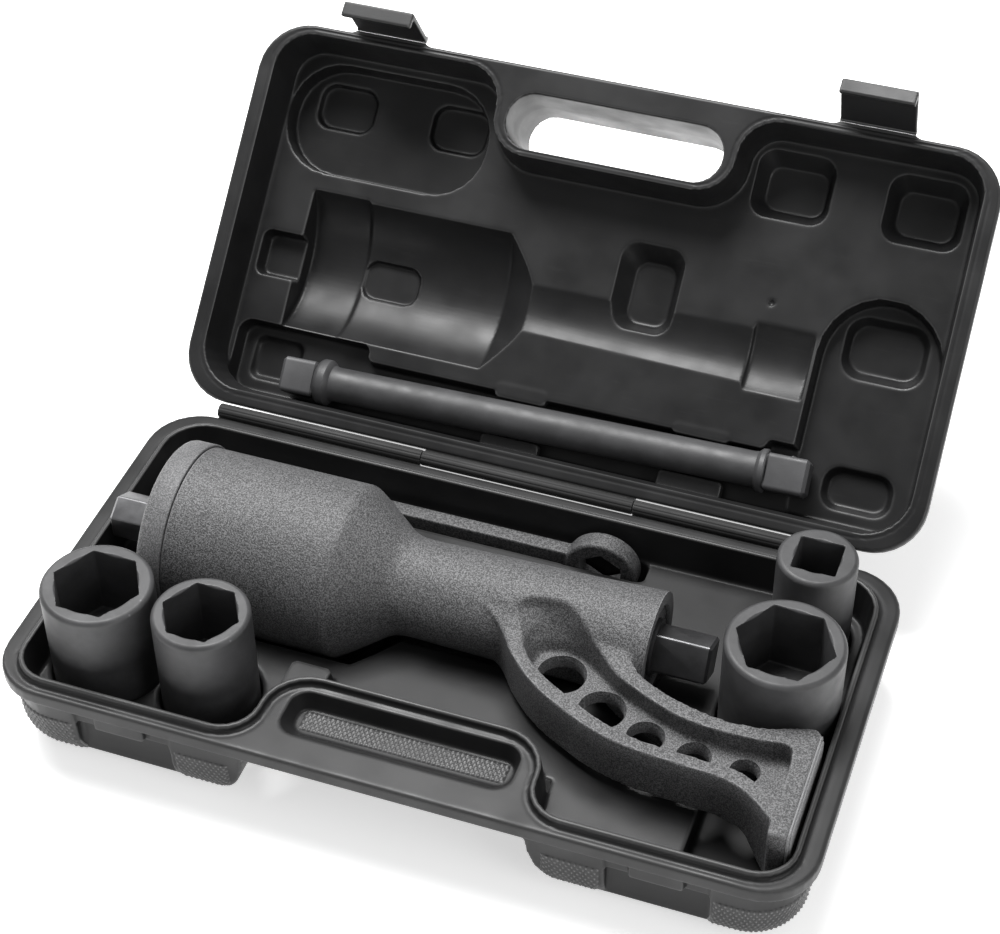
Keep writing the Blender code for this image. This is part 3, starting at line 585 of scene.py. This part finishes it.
def make_base():
    at = Matrix.Translation((0, 0, RIM_Z))
    base = shell("base_shell", RIM_Z, -1, at)
    mouth = mouth_corners(0, MOUTH_FRONT, MOUTH_BACK)
    tongue = [(46, 0.8), (53.2, 0.8), (54.0, 1.5)]
    ridge = stack("tongue", [(z, rounded(grown(mouth, -inset))) for z, inset in tongue])
    joined(base, [ridge])
    inner = grown(mouth, -3.4)
    wall = rounded(inner)
    tray = stack("tray", [(60, wall), (52.5, wall), (33, rounded(grown(inner, -2.6)))])
    cutters = [tray, rim_groove(mouth, (0.6, 2.0), 52, 49.0)]
    profile = [(-161.5, 0), (-161, 46), (-46, 46), (-28, 27.5), (98, 28.3), (99, 0)]
    cutters.append(turned("multiplier_pocket", profile, matrix=MULTIPLIER))
    for node in SOCKET_NODES:
        x, y, radius = socket_place(node)
        hollow = [(7, 0), (7, radius + 1), (31.5, radius + 1.2)]
        if x > 0:
            hollow += [(34, radius + 2.2), (34, 0)]
        else:
            hollow += [(34, radius + 3.2), (60, radius + 3.4), (60, 0)]
        cutters.append(turned(f"pocket_{node}", hollow, "Z", 64, Matrix.Translation((x, y, 0))))
    foot = box_corners(138, 189.5, -91, -14, 5)
    cutters.append(pocket("foot_pocket", foot, grown(foot, -1), 33, 22))
    crank = box_corners(-186, 72, 75.5, 88.5, 3)
    cutters.append(pocket("crank_pocket", crank, grown(crank, -0.5), 33, 17.5))
    hub = Matrix.Translation((crank_hub_x(), 0, 31))
    cutters.append(turned("hub_pocket", [(75, 0), (75, 20), (89, 20), (89, 0)], "Y", 48, hub))
    grip = box_corners(-186.5, -160, 36, 80, 4)
    cutters.append(pocket("grip_pocket", grip, grown(grip, -0.3), 33, 17))
    recess = rounded(box_corners(-57, 57, -87, -59.5, 9))
    floor = rounded(box_corners(-54, 54, -77.5, -61, 7))
    cutters.append(stack("grip_recess", [(54, recess), (50, recess), (39.2, floor)]))
    notch = [(-112, -4), (-64, -4), (-64, 33), (-66.5, 36), (-89, 36), (-92, 41.6), (-112, 41.6)]
    cutters.append(prism("hand_notch", notch, -68, 68, "X"))
    for sign in (-1, 1):
        round_end = arc(FOOT_END_X, FOOT_END_TOP, FOOT_END_WIDTH, FOOT_END_HEIGHT, 180, 270, 14)
        curve = [(sign * x, z) for x, z in round_end]
        curve += [(sign * FOOT_END_X, -6), (sign * 60, -6), (sign * 60, FOOT_END_TOP)]
        cutters.append(prism(f"foot_round_{sign}", [(b, a) for a, b in curve], -112, -60, "Y"))
        middle = sign * CATCH_X
        sides = (middle - CATCH_HALF_WIDTH, middle + CATCH_HALF_WIDTH)
        for name, y, z in (("upper", -97.4, (30, 41.5)), ("lower", -93.5, (-4, 30))):
            cutters.append(block(f"catch_{name}_{sign}", sides, (-112, y), z, 1.5))
    cut(base, cutters)
    extras = []
    for sign in (-1, 1):
        sides = (sign * CATCH_X - 13, sign * CATCH_X + 13)
        extras.append(block(f"catch_block_{sign}", sides, (-101.4, -96.4), (32.4, 43), 1.5))
    support = [(30, box_corners(-71, -47, -58, -35, 3)), (42, box_corners(-69, -49, -56, -37, 3))]
    extras.append(stack("support", [(z, rounded(corners)) for z, corners in support]))
    joined(base, extras)
    softened(base, 0.85, 2)
    shaded(base, CASE, "base", "case_base", 60)


SOCKET_NODES = {
    "socket_38mm": ("large_left_socket", 38.4, 6, 90),
    "socket_33mm": ("small_left_socket", 33.4, 6, 90),
    "socket_41mm": ("right_socket", 41.4, 6, 87),
    "socket_21mm_square": ("square_socket", 21.4, 4, 90),
}


def socket_place(node):
    low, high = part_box(node)
    return (low[0] + high[0]) / 2 / MM, (low[1] + high[1]) / 2 / MM, (high[0] - low[0]) / 2 / MM


def crank_hub_x():
    """The crank's hub ends the arm's node on the right."""
    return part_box("crank_arm")[1][0] / MM - HUB_RADIUS


# Knurled pads: thin closed patches of real diamonds that lie on the case


def diamonds(s, t, pitch):
    """Height from 0 to 1 of a diamond knurl at a point on the surface."""
    a = abs(((s + 0.5 * t) / pitch) % 1.0 - 0.5) * 2
    b = abs(((s - 0.5 * t) / pitch) % 1.0 - 0.5) * 2
    return min(a, b)


def knurled(name, surface, length, height, step, pitch, rise, proud, body, fade=2.2):
    """A patch over surface(s, t) -> (point, normal). Its edges dip into the case."""
    columns = int(length / step) + 1
    rows = int(height / step) + 1
    geometry = bmesh.new()
    layers = ([], [])
    for i in range(columns):
        s = length * i / (columns - 1)
        for j in range(rows):
            t = height * j / (rows - 1)
            point, normal = surface(s, t)
            edge = min(s, length - s, t, height - t)
            share = min(edge / fade, 1.0)
            lift = (proud + rise * diamonds(s, t * 1.3, pitch)) * share - 0.5 * (1 - share)
            layers[0].append(geometry.verts.new((point + normal * lift) * MM))
            layers[1].append(geometry.verts.new((point - normal * 1.2) * MM))
    for layer in layers:
        for i in range(columns - 1):
            for j in range(rows - 1):
                k = i * rows + j
                geometry.faces.new([layer[k], layer[k + rows], layer[k + rows + 1], layer[k + 1]])
    border = [i * rows for i in range(columns)]
    border += [(columns - 1) * rows + j for j in range(1, rows)]
    border += [i * rows + rows - 1 for i in range(columns - 2, -1, -1)]
    border += [j for j in range(rows - 2, 0, -1)]
    for k, following in zip(border, border[1:] + border[:1]):
        geometry.faces.new([layers[0][k], layers[0][following], layers[1][following], layers[1][k]])
    return shaded(object_from(name, geometry), PAD, body, angle=50)


def wall_point(around, drop):
    """A point on the base's outside, around being the way from x = 0 at the front to the right."""
    start = RIM_Z - SHOULDER_HIGH
    if drop < start:
        inset = 4.0 + 1.5 * drop / start
    else:
        inset = FLAT_INSET - SHOULDER_ACROSS * math.cos(math.asin(min((drop - start) / SHOULDER_HIGH, 1.0)))
    radius = corner_radius(inset)
    centre_x = HALF_LENGTH - inset - radius
    centre_y = -HALF_DEPTH + inset + radius
    straight = HALF_LENGTH - CORNER - 2.0
    turn = math.pi / 2 * CORNER
    if around <= straight:
        return Vector((centre_x * around / straight, centre_y - radius, RIM_Z - drop))
    angle = min((around - straight) / CORNER - math.pi / 2, 0.0)
    beyond = max(around - straight - turn, 0.0)
    x = centre_x + radius * math.cos(angle)
    y = centre_y + radius * math.sin(angle)
    return Vector((x, y + beyond, RIM_Z - drop))


def pad_surface(sign, start, top, height):
    """The wall from start along it and from top downwards, which stops where the foot's end curves up."""

    def spot(a, b):
        x = min(wall_point(start + a, top).x, FOOT_END_X)
        foot_end = FOOT_END_TOP - FOOT_END_HEIGHT * math.sqrt(1 - ((x - FOOT_END_X) / FOOT_END_WIDTH) ** 2)
        deepest = min(top + height, RIM_Z - foot_end - 2.5)
        point = wall_point(start + a, top + (deepest - top) * b / height)
        return Vector((sign * point.x, point.y, point.z))

    def surface(s, t):
        point = spot(s, t)
        across = spot(s + 0.3, t) - spot(s - 0.3, t)
        down = spot(s, t + 0.3) - spot(s, t - 0.3)
        normal = across.cross(down).normalized()
        if normal.dot(Vector((point.x * 0.1, point.y, 0))) < 0:
            normal.negate()
        return point, normal

    return surface


def make_pads():
    for sign, side in ((-1, "left"), (1, "right")):
        for name, start, length, height in (("inner", 76.5, 29.5, 22.0), ("outer", 157.5, 84.0, 24.0)):
            surface = pad_surface(sign, start, KNURL_TOP, height)
            grain = (KNURL_STEP, KNURL_PITCH, KNURL_RISE, KNURL_PROUD)
            knurled(f"foot_knurl_{name}_{side}", surface, length, height, *grain, "base")

    def grip(s, t):
        return Vector((-51.5 + s, -75.5 + t, 39.4)), Vector((0, 0, 1))

    knurled("grip_knurl", grip, 103.0, 13.0, 0.5, 2.4, 0.6, 0.2, "base", 1.5)


# Hinge, latches


def make_hinge_strips():
    angles = [2 * math.pi * k / 72 for k in range(72)]
    reaches = [KNUCKLE_RADIUS - 0.25 * max(0.0, math.cos(9 * angle)) ** 2 for angle in angles]
    outline = [(reach * math.cos(angle), reach * math.sin(angle)) for reach, angle in zip(reaches, angles)]
    chamfer = [(0.93 * a, 0.93 * b) for a, b in outline]
    bore = [(1.68 * math.cos(angle), 1.68 * math.sin(angle)) for angle in angles]
    at = Matrix.Translation(HINGE)
    for name, low, high, body, matrix in (
        ("hinge_strip_left", -173.0, -58.5, "base", at),
        ("hinge_strip_right", 56.5, 171.0, "base", at),
        ("hinge_strip_lid", -58.0, 56.0, "lid", LID),
    ):
        ends = [(low, bore), (low, chamfer), (low + 0.6, outline)]
        ends += [(high - 0.6, outline), (high, chamfer), (high, bore)]
        rings = [[on_axis("X", level, a, b) for a, b in ring] for level, ring in ends]
        strip = loft(name, rings, matrix, closed=True)
        shaded(strip, STRIP, body, angle=25)
        if body == "lid":
            section = [(-7.0, 1.6), (-2.0, 1.6), (-2.0, 3.5), (-7.0, 3.7)]
        else:
            section = [(-5.6, -7.2), (-2.2, -7.2), (-2.2, -2.6), (-5.6, -2.8)]
        web = prism(name + "_web", section, low, high, "X", matrix)
        shaded(web, CASE, body)


def make_latches():
    """Each latch has a plate and a lip that turn with it, on a flared web that is part of the lid."""
    half = LATCH_HALF_WIDTH
    for side, sign in (("left", -1), ("right", 1)):
        place = LID @ Matrix.Translation((sign * CATCH_X, LATCH_PIVOT_Y, LATCH_PIVOT_Z))
        place = place @ Matrix.Rotation(math.radians(LATCH_TILTS[side]), 4, "X")
        tab = box_corners(-half, half, -30.5, 0.8, 1.6)
        inner = rounded(grown(tab, -0.5))
        outer = rounded(tab)
        plate = stack("plate", [(-1.5, inner), (-1.0, outer), (1.0, outer), (1.5, inner)], "Z", place)
        lip = [(-30.5, 1.5), (-30.5, -6.2), (-29.8, -6.7), (-27.9, -6.5), (-27.4, -5.6), (-27.0, -1.4)]
        lip += [(-24.0, -1.0), (-24.0, 1.3)]
        joined(plate, [prism("lip", lip, 0.3 - half, half - 0.3, "X", place)], "EXACT")
        softened(plate, 0.55, 3)
        flare = [(half, -214.1), (20.2, -213.5), (21.8, -212.8), (24.5, -212.2), (24.5, -210.8)]
        flare += [(-x, y) for x, y in reversed(flare)]
        at = LID @ Matrix.Translation((sign * CATCH_X, 0, 0))
        web = prism(f"latch_web_{side}", flare, 2.8, 4.2, "Z", at)
        shaded(web, CASE, "lid")
        bend = [(-half, 0), (-half, 1.85), (half, 1.85), (half, 0)]
        bead = turned(f"latch_bend_{side}", bend, "X", 32, place)
        shaded(bead, CASE, f"{side}_latch")
        plate.name = f"latch_{side}_moulded"
        shaded(plate, CASE, f"{side}_latch", f"latch_{side}", 60)


# Multiplier


def wall_between(name, edge, thickness, heights):
    """An upright wall along an edge of (x, y), between the low and high z given at each of its points."""
    rings = []
    for index, point in enumerate(edge):
        before = edge[max(index - 1, 0)]
        after = edge[min(index + 1, len(edge) - 1)]
        along = (after - before).normalized()
        side = Vector((-along.y, along.x)) * thickness
        low, high = heights[index]
        inner = point + side
        corners = ((point, low), (inner, low), (inner, high), (point, high))
        rings.append([(spot.x, spot.y, z) for spot, z in corners])
    return loft(name, rings)


def join_meshes(name, pieces):
    geometry = bmesh.new()
    for piece in pieces:
        geometry.from_mesh(piece.data)
    drop(pieces)
    return object_from(name, geometry)


# The reaction arm, seen from above: the outside of its front and back walls, and the pocket between them
ARM_FRONT = [(-14, 9), (-1.5, 5.8), (8, 2.5), (20.8, -3.3), (29, -11), (35, -19), (44.7, -29), (55, -37)]
ARM_FRONT += [(66.8, -43.6), (84, -51.6), (104, -56.6), (130, -58.8), (147, -59.8)]
ARM_FRONT += [(160, -64), (172, -73), (181, -82)]
ARM_BACK = [(34, 27), (56, 18), (72, 9), (82, 1), (93.7, -10.5), (102, -16), (118, -22.3), (138.5, -26.5)]
ARM_BACK += [(158, -25.6), (172, -21), (182, -18.5)]
POCKET_SIDES = [(52, -25.9), (65.5, -34.1), (83.9, -43.6), (103.6, -49.8), (128.1, -52), (151.4, -52.8)]
POCKET_SIDES += [(161, -56), (169, -59.5), (174.5, -56), (174.5, -36), (170, -31.8)]
POCKET_SIDES += [(158.7, -33.2), (140.3, -33.8)]
POCKET_SIDES += [(123.2, -32), (109.7, -27.7), (96.2, -21.6)]
# The pocket's end at the neck, which widens from its floor up the neck's side, by level
POCKET_ENDS = {
    54: [(87, -17.5), (75.5, -9), (64, -2.5), (53, -2), (46, -5), (44, -12), (46, -18.5)],
    60: [(86, -16.5), (75, -8), (63.5, -1), (52.5, 0.5), (44, -3), (41.5, -10.5), (44, -17.5)],
    66: [(85, -15.5), (73.5, -6), (62.5, 1), (51.5, 4.5), (41.5, 1), (38.5, -8), (41.5, -15.8)],
    72: [(84, -15), (72.5, -5), (62, 3), (51.5, 7.5), (38, 6.5), (31.5, 1), (38, -11.5)],
    77: [(84, -15), (72, -4.5), (61, 5), (52, 9), (38, 8.2), (28, 3), (36, -9)],
}
# Across the arm, its top rises in a fillet to the neck
ARM_SECTION = [(30, ARM_BOTTOM), (30, 70), (24, 75.2), (17.5, 76.6), (11, 76.0), (5, 74.4), (-3, 69.8)]
ARM_SECTION += [(-10, 67.0), (-18, ARM_TOP), (-90, ARM_TOP), (-90, ARM_BOTTOM)]
# The arm's holes, as x, y and radius
ARM_HOLES = [(59.1, -14.6, 11.0), (83.6, -29.4, 10.5), (107.3, -38.4, 8.2), (131.3, -42.4, 7.3)]
ARM_HOLES += [(155.5, -43.6, 6.3)]


def smooth_loop(points, steps=5):
    """A closed Catmull-Rom curve, as (x, y) points."""
    count = len(points)
    curve = smooth_curve([points[k % count] for k in range(-2, count + 3)], steps)
    return [tuple(p) for p in curve[2 * steps : (count + 2) * steps]]


def make_arm():
    """The reaction arm's pieces, filled between the walls."""
    front = smooth_curve(ARM_FRONT, 5)
    back = smooth_curve(ARM_BACK, 5)
    arm = prism("arm", [tuple(p) for p in [*front, *reversed(back)]], ARM_BOTTOM, 80)
    section = smooth_curve(ARM_SECTION[2:-2], 4)
    outline = [*ARM_SECTION[:2], *[tuple(p) for p in section], *ARM_SECTION[-2:]]
    combined(arm, [prism("fillet", outline, -20, 190, "X")], "INTERSECT")
    pieces = [arm]
    for name, edge, thickness in (("front", front, 7.2), ("back", back, -7.0)):
        edge = [p for p in edge if p.x > 120]
        falls = [(ARM_BOTTOM - FOOT_LOW) * smooth_step((p.x - 158) / 18) for p in edge]
        heights = [(ARM_BOTTOM - fall, 60.0) for fall in falls]
        pieces.append(wall_between(name, edge, thickness, heights))
    foot = rounded(box_corners(175, 184.4, -83.2, -18.9, 2.5))
    pieces.append(prism("foot", foot, FOOT_LOW + 0.3, ARM_TOP - 0.1))
    return pieces


def make_housing():
    profile = [(DRUM_END - 5, 0), (DRUM_END - 5, DRUM_RADIUS), (-60, DRUM_RADIUS), (-58.4, 43.3)]
    profile += [(-57.2, 42.6), (-51, 38.6), (-35, 27.0), (-31, 25.2), (-26, 24.4), (-20, 24.4)]
    profile += [(60, 26.0), (NECK_END + 4, 27.4)]
    profile += [(NECK_END + 4, 0)]
    body = turned("gear_housing_cast", profile, segments=128, matrix=MULTIPLIER)
    joined(body, make_arm())
    layers = [(z, smooth_loop([*POCKET_SIDES, *end])) for z, end in POCKET_ENDS.items()]
    layers.append((90, layers[-1][1]))
    below = [(30, layers[0][1]), (WEB_BOTTOM, layers[0][1])]
    cut(body, [stack("arm_pocket", layers), stack("arm_underside", below)])
    softened(body, 0.95, 7)
    inner = [(-140.4, 37), (-69.5, 37), (-69.5, 20), (-50, 20), (-50, 15.5), (78, 15.5), (78, 20)]
    ends = [(-160, 0), (-160, 60), (DRUM_END, 60), (DRUM_END, 37)]
    inner = [*ends, *inner, (94.6, 20), (NECK_END, 21.2), (NECK_END, 28), (104, 28), (104, 0)]
    cutters = [turned("inner", inner, matrix=MULTIPLIER)]
    for x, y, radius in ARM_HOLES:
        rim = [(44, 0), (44, radius + 0.9), (46.2, radius + 0.9), (47.2, radius), (52.6, radius)]
        rim += [(53.8, radius + 0.9), (57, radius + 1.0), (57, 0)]
        cutters.append(turned("hole", rim, "Z", 48, Matrix.Translation((x, y, 0))))
    cut(body, cutters)
    shaded(body, CAST, "multiplier", "gear_housing", 40)
    plates = []
    steps = ((183.9, 185.2, -82.4, -19.6), (185.0, 186.0, -81.0, -21.2))
    for k, (low, high, y_low, y_high) in enumerate(steps):
        corners = box_corners(25.2 + k, 64.6 - k, y_low, y_high, 3.0)
        outline = rounded(corners)
        layers = [(low, outline), (high - 0.4, outline), (high, rounded(grown(corners, -0.5)))]
        plates.append(stack(f"foot_plate_{k}", layers, "Z", SIDEWAYS))
    plate = join_meshes("reaction_foot_plate", plates)
    shaded(plate, CAST, "multiplier")


def smooth_step(t):
    t = min(max(t, 0.0), 1.0)
    return t * t * (3 - 2 * t)


def make_cover():
    profile = [(-160, 9.0), (-160, 13.6), (-159.4, 14.2), (-159.4, 30.6), (-160, 31.2), (-160, 33)]
    profile += [(-158.9, 34.0), (-156.9, 34.6), (-156.5, 35.4), (-156.5, 42.2), (-156.1, 43.4)]
    profile += [(-155.2, 44.4), (-154.0, 44.9)]
    profile += [(-144.1, 45.0), (-143.6, 44.8), (-143.3, 44.3), (-143.3, 43.4), (-143.3, 36.7), (-138, 36.7)]
    profile += [(-138, 14.2), (-152, 14.2), (-152, 9.0)]
    cover = turned("end_cover_cast", profile, segments=128, matrix=MULTIPLIER, closed=True)
    heads = []
    for k in range(6):
        angle = math.radians(30 + 60 * k)
        y = AXIS_Y + 38.9 * math.cos(angle)
        z = AXIS_Z + 38.9 * math.sin(angle)
        at = Matrix.Translation((0, y, z))
        sink = turned("sink", [(-158, 0), (-158, 3.0), (-153.6, 3.0), (-153.6, 0)], "X", 32, at)
        heads.append(sink)
        dome = [(-156.2, 0), (-156.2, 2.3), (-155.9, 2.75), (-153.0, 2.75), (-153.0, 0)]
        head = turned("head", dome, "X", 32, at)
        cut(head, [prism("key", regular(6, 2.6), -158, -154.6, "X", at)])
        head.name = f"cover_screw_{k + 1}"
        shaded(head, PHOSPHATE, "multiplier")
    cut(cover, heads)
    shaded(cover, CAST, "multiplier", "end_cover", 30)


def gear_outline(teeth, module, tip, root):
    pitch = 2 * math.pi / teeth
    outline = []
    for tooth in range(teeth):
        for share, depth in ((-0.27, root), (-0.13, tip), (0.13, tip), (0.27, root)):
            radius = module * (teeth / 2 + depth)
            angle = pitch * (tooth + share)
            outline.append((radius * math.cos(angle), radius * math.sin(angle)))
    return outline


def chamfered_bar(name, outline_corners, low, high, chamfer, matrix):
    """A prism along X whose two ends are chamfered."""
    full = rounded(outline_corners, 5)
    small = rounded(grown(outline_corners, -chamfer), 5)
    layers = [(low, small), (low + chamfer, full), (high - chamfer, full), (high, small)]
    return stack(name, layers, "X", matrix)


def turned_corners(flats, across, radius, turn):
    return [(a, b, radius) for a, b in regular(flats, across, turn)]


def make_shafts():
    journal = [(-161, 0), (-161, 8.4), (-135.5, 8.4), (-135.5, 0)]
    shaft = turned("input_shaft_turned", journal, matrix=MULTIPLIER)
    hexagon = chamfered_bar("input_hex", turned_corners(6, 21.0, 1.2, 180), -187, -160.5, 1.4, MULTIPLIER)
    sun = prism("sun", gear_outline(SUN_TEETH, GEAR_MODULE, 0.7, -1.0), -136, -119, "X", MULTIPLIER)
    joined(shaft, [hexagon, sun], "EXACT")
    shaded(shaft, DRIVE, "input", "input_shaft", 20)

    profile = [(-84.5, 0), (-84.5, 22.4), (-83.9, 23), (-72.6, 23), (-72, 22.4), (-72, 14)]
    profile += [(95.8, 14), (96.5, 13.3), (96.5, 0)]
    output = turned("output_shaft_turned", profile, matrix=MULTIPLIER)
    square = chamfered_bar("square", turned_corners(4, SQUARE_ACROSS, 1.6, 153), 93, 123.5, 1.3, MULTIPLIER)
    pins = []
    for k in range(3):
        angle = 2 * math.pi * k / 3
        away = (0, PLANET_ORBIT * math.cos(angle), PLANET_ORBIT * math.sin(angle))
        at = MULTIPLIER @ Matrix.Translation(away)
        pins.append(turned("pin", [(-108, 0), (-108, 3.6), (-107.6, 4), (-83, 4), (-83, 0)], "X", 32, at))
    joined(output, [square, *pins], "EXACT")
    shaded(output, DRIVE, "output", "output_shaft", 20)


# Loose tools


def make_sockets():
    for node, (body, across, flats, turn) in SOCKET_NODES.items():
        x, y, radius = socket_place(node)
        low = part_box(node)[0][2] / MM
        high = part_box(node)[1][2] / MM
        at = Matrix.Translation((x, y, 0))
        profile = [(low, 0), (low, radius - 2.0), (low + 0.5, radius - 1.0), (low + 1.6, radius)]
        profile += [(high - 1.9, radius), (high - 1.2, radius - 0.3), (high - 0.4, radius - 1.1)]
        profile += [(high, radius - 1.9), (high, 0)]
        socket = turned(f"{node}_forged", profile, "Z", 128, at)
        mouth = rounded([(a, b, 0.4) for a, b in regular(flats, across, turn)], 3)
        cutters = [stack("mouth", [(49, mouth), (high + 2, mouth)], "Z", at)]
        lead = [(high - 1.0, 0), (high - 1.0, across / 2), (high + 0.5, across / 2 + 1.3), (high + 0.5, 0)]
        cutters.append(turned("lead", lead, "Z", 96, at))
        drive = rounded([(a, b, 1.0) for a, b in regular(4, SOCKET_DRIVE, 90)], 4)
        cutters.append(stack("drive", [(low - 2, drive), (50, drive)], "Z", at))
        waist = [(low + 13.4, radius + 1), (low + 13.4, radius - 0.1), (low + 14, radius - 0.7)]
        waist += [(low + 15.4, radius - 0.7), (low + 16, radius - 0.1), (low + 16, radius + 1)]
        cutters.append(turned("waist", waist, "Z", 128, at, closed=True))
        across_hole = Matrix.Translation((x, y, low + 14.7))
        cutters.append(turned("hole", [(-60, 0), (-60, 2.6), (60, 2.6), (60, 0)], "Y", 32, across_hole))
        cut(socket, cutters)
        softened(socket, 0.5, 2)
        shaded(socket, PHOSPHATE, body, node, 45)


def make_bar():
    frame_at = Matrix.Translation((-7.7, -31.4, 26.0)) @ Matrix.Rotation(math.radians(-1.4), 4, "Z")
    place = LID @ frame_at
    half = 144.0
    left = [(19, 0), (19, 10.4), (19.8, 11.4), (20.8, 12.1), (21.6, 12.4)]
    left += [(25.2, 12.4), (26.4, 11.6), (27.6, 10.0), (29.5, 9.35)]
    right = [(30, 9.3), (27.4, 9.6), (26.4, 10.6), (25.4, 11.4), (23.2, 11.6)]
    right += [(22.4, 11.2), (22, 10.4), (22, 0)]
    profile = [(inset - half, radius) for inset, radius in left]
    profile += [(half - inset, radius) for inset, radius in right]
    bar = turned("extension_bar_forged", profile, matrix=place)
    corners = box_corners(-9.5, 9.5, -9.5, 9.5, 2.4)
    ends = []
    for name, low, high in (("left", -half, -half + 20), ("right", half - 23, half)):
        ends.append(chamfered_bar(f"end_{name}", corners, low, high, 1.8, place))
    joined(bar, ends, "EXACT")
    pocket_at = place @ Matrix.Translation((half - 10, 0, 0))
    detent = [(-20, 0), (-20, 2.9), (-9.3, 2.9), (-8.8, 2.45), (-5.5, 2.45), (-5.5, 0)]
    cut(bar, [turned("detent", detent, "Y", 32, pocket_at)])
    shaded(bar, PHOSPHATE, "bar", "extension_bar", 25)


def make_crank():
    low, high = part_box("crank_arm")
    y = (low[1] + high[1]) / 2 / MM
    z = (low[2] + high[2]) / 2 / MM
    hub_x = crank_hub_x()
    end_x = low[0] / MM
    outline = rounded(box_corners(-7, 7, end_x + 0.4, hub_x, 6.5), 8)
    arm = prism("crank_arm_cast", outline, -4, 4, "Y", Matrix.Translation((0, y, z)))
    at = Matrix.Translation((hub_x, y, z))
    profile = [(-5.5, 0), (-5.5, 17.6), (-4.6, 18.8), (-3.6, HUB_RADIUS)]
    profile += [(-level, radius) for level, radius in reversed(profile)]
    hub = turned("hub", profile, "Y", 96, at)
    arm = join_meshes("crank_arm_cast", [arm, hub])
    softened(arm, 0.7, 5)
    cutters = [prism("hex", regular(6, 21.6, 90), -15, 15, "Y", at)]
    pin_at = Matrix.Translation((GRIP_X, y, z))
    cutters.append(turned("hole", [(-15, 0), (-15, 4.3), (15, 4.3), (15, 0)], "Y", 32, pin_at))
    cut(arm, cutters)
    shaded(arm, CRANK, "crank", "crank_arm", 40)

    axis_at = Matrix.Translation((GRIP_X, 0, z))
    profile = [(38.5, 4.3), (38.5, 9.0), (38.9, 10.0), (39.6, 11.0), (41, 11.8)]
    for k in range(7):
        start = 43.5 + 4.1 * k
        profile += [(start, 12.0), (start + 0.5, 11.3), (start + 1.4, 11.0)]
        profile += [(start + 2.3, 11.3), (start + 2.8, 12.0)]
    profile += [(73.6, 11.6), (75.2, 10.4), (76, 9.0), (76, 4.3)]
    grip = turned("crank_grip_moulded", profile, "Y", 64, axis_at, closed=True)
    shaded(grip, GRIP, "grip", "crank_grip", 40)
    profile = [(36.7, 0), (36.7, 5.2), (37.1, 6.2), (37.9, 6.9), (38.2, 6.9), (38.2, 4.0)]
    profile += [(86.1, 4.0), (86.1, 5.9), (86.9, 5.9), (87.7, 5.2), (88.1, 4.2), (88.1, 0)]
    pin = turned("grip_pin_turned", profile, "Y", 64, axis_at)
    shaded(pin, DRIVE, "crank", "grip_pin", 30)


def finish_nodes():
    """Gives the CAD nodes that stay their materials."""
    for name, node in frame["nodes"].items():
        slot = [part["material_slot"] for part in frame["record"]["subparts"] if part["node"] == name][0]
        material = {"gear_steel": STEEL, "bronze": BRONZE, "dark_steel": DRIVE}.get(slot, CASE)
        node.data.materials.clear()
        node.data.materials.append(material)


# Studio


def make_floor():
    floor = bpy.data.meshes.new("floor")
    size = 12.0
    corners = [(-size, -size, 0), (size, -size, 0), (size, size, 0), (-size, size, 0)]
    floor.from_pydata([(x, y, z - 0.0004) for x, y, z in corners], [], [(0, 1, 2, 3)])
    obj = bpy.data.objects.new("floor", floor)
    bpy.context.collection.objects.link(obj)
    material, _, shader = new_material("floor_white", (0.93, 0.93, 0.93), 0.9, specular=0.1)
    shader.inputs["Emission Color"].default_value = (1, 1, 1, 1)
    shader.inputs["Emission Strength"].default_value = 0.55
    floor.materials.append(material)


def make_light(name, place, target, size, power):
    light = bpy.data.lights.new(name, "AREA")
    light.shape = "RECTANGLE"
    light.size, light.size_y = size
    light.energy = power
    obj = bpy.data.objects.new(name, light)
    obj.location = place
    obj.rotation_euler = (Vector(target) - Vector(place)).to_track_quat("-Z", "Y").to_euler()
    bpy.context.collection.objects.link(obj)


def make_studio():
    make_floor()
    world = bpy.data.worlds.new("studio")
    world.use_nodes = True
    background = world.node_tree.nodes["Background"]
    background.inputs["Color"].default_value = (1.0, 1.0, 1.0, 1.0)
    background.inputs["Strength"].default_value = 0.32
    bpy.context.scene.world = world
    target = (0, 0.05, 0.05)
    make_light("key", (-0.35, 0.45, 1.7), target, (1.0, 0.8), 56.0)
    make_light("fill", (1.5, -0.6, 0.9), target, (0.9, 0.9), 8.0)
    make_light("strip", (-1.1, 0.5, 1.1), target, (0.15, 1.0), 7.0)
    bpy.context.scene.view_settings.view_transform = "Standard"


def make_camera():
    camera = bpy.data.cameras.new("camera")
    camera.sensor_width = 36.0
    camera.lens = 2.350 * camera.sensor_width
    camera.clip_end = 20
    obj = bpy.data.objects.new("camera", camera)
    right = Vector((0.94239, 0.33441, -0.00849))
    up = Vector((-0.22075, 0.64077, 0.73531))
    back = right.cross(up).normalized()
    rotation = Matrix((right, up, back)).transposed().to_4x4()
    obj.matrix_world = Matrix.Translation((0.28722, -0.72361, 0.87260)) @ rotation
    bpy.context.collection.objects.link(obj)
    bpy.context.scene.camera = obj


make_camera()
make_studio()
finish_nodes()
make_lid()
make_base()
make_pads()
make_hinge_strips()
make_latches()
make_housing()
make_cover()
make_shafts()
make_sockets()
make_bar()
make_crank()
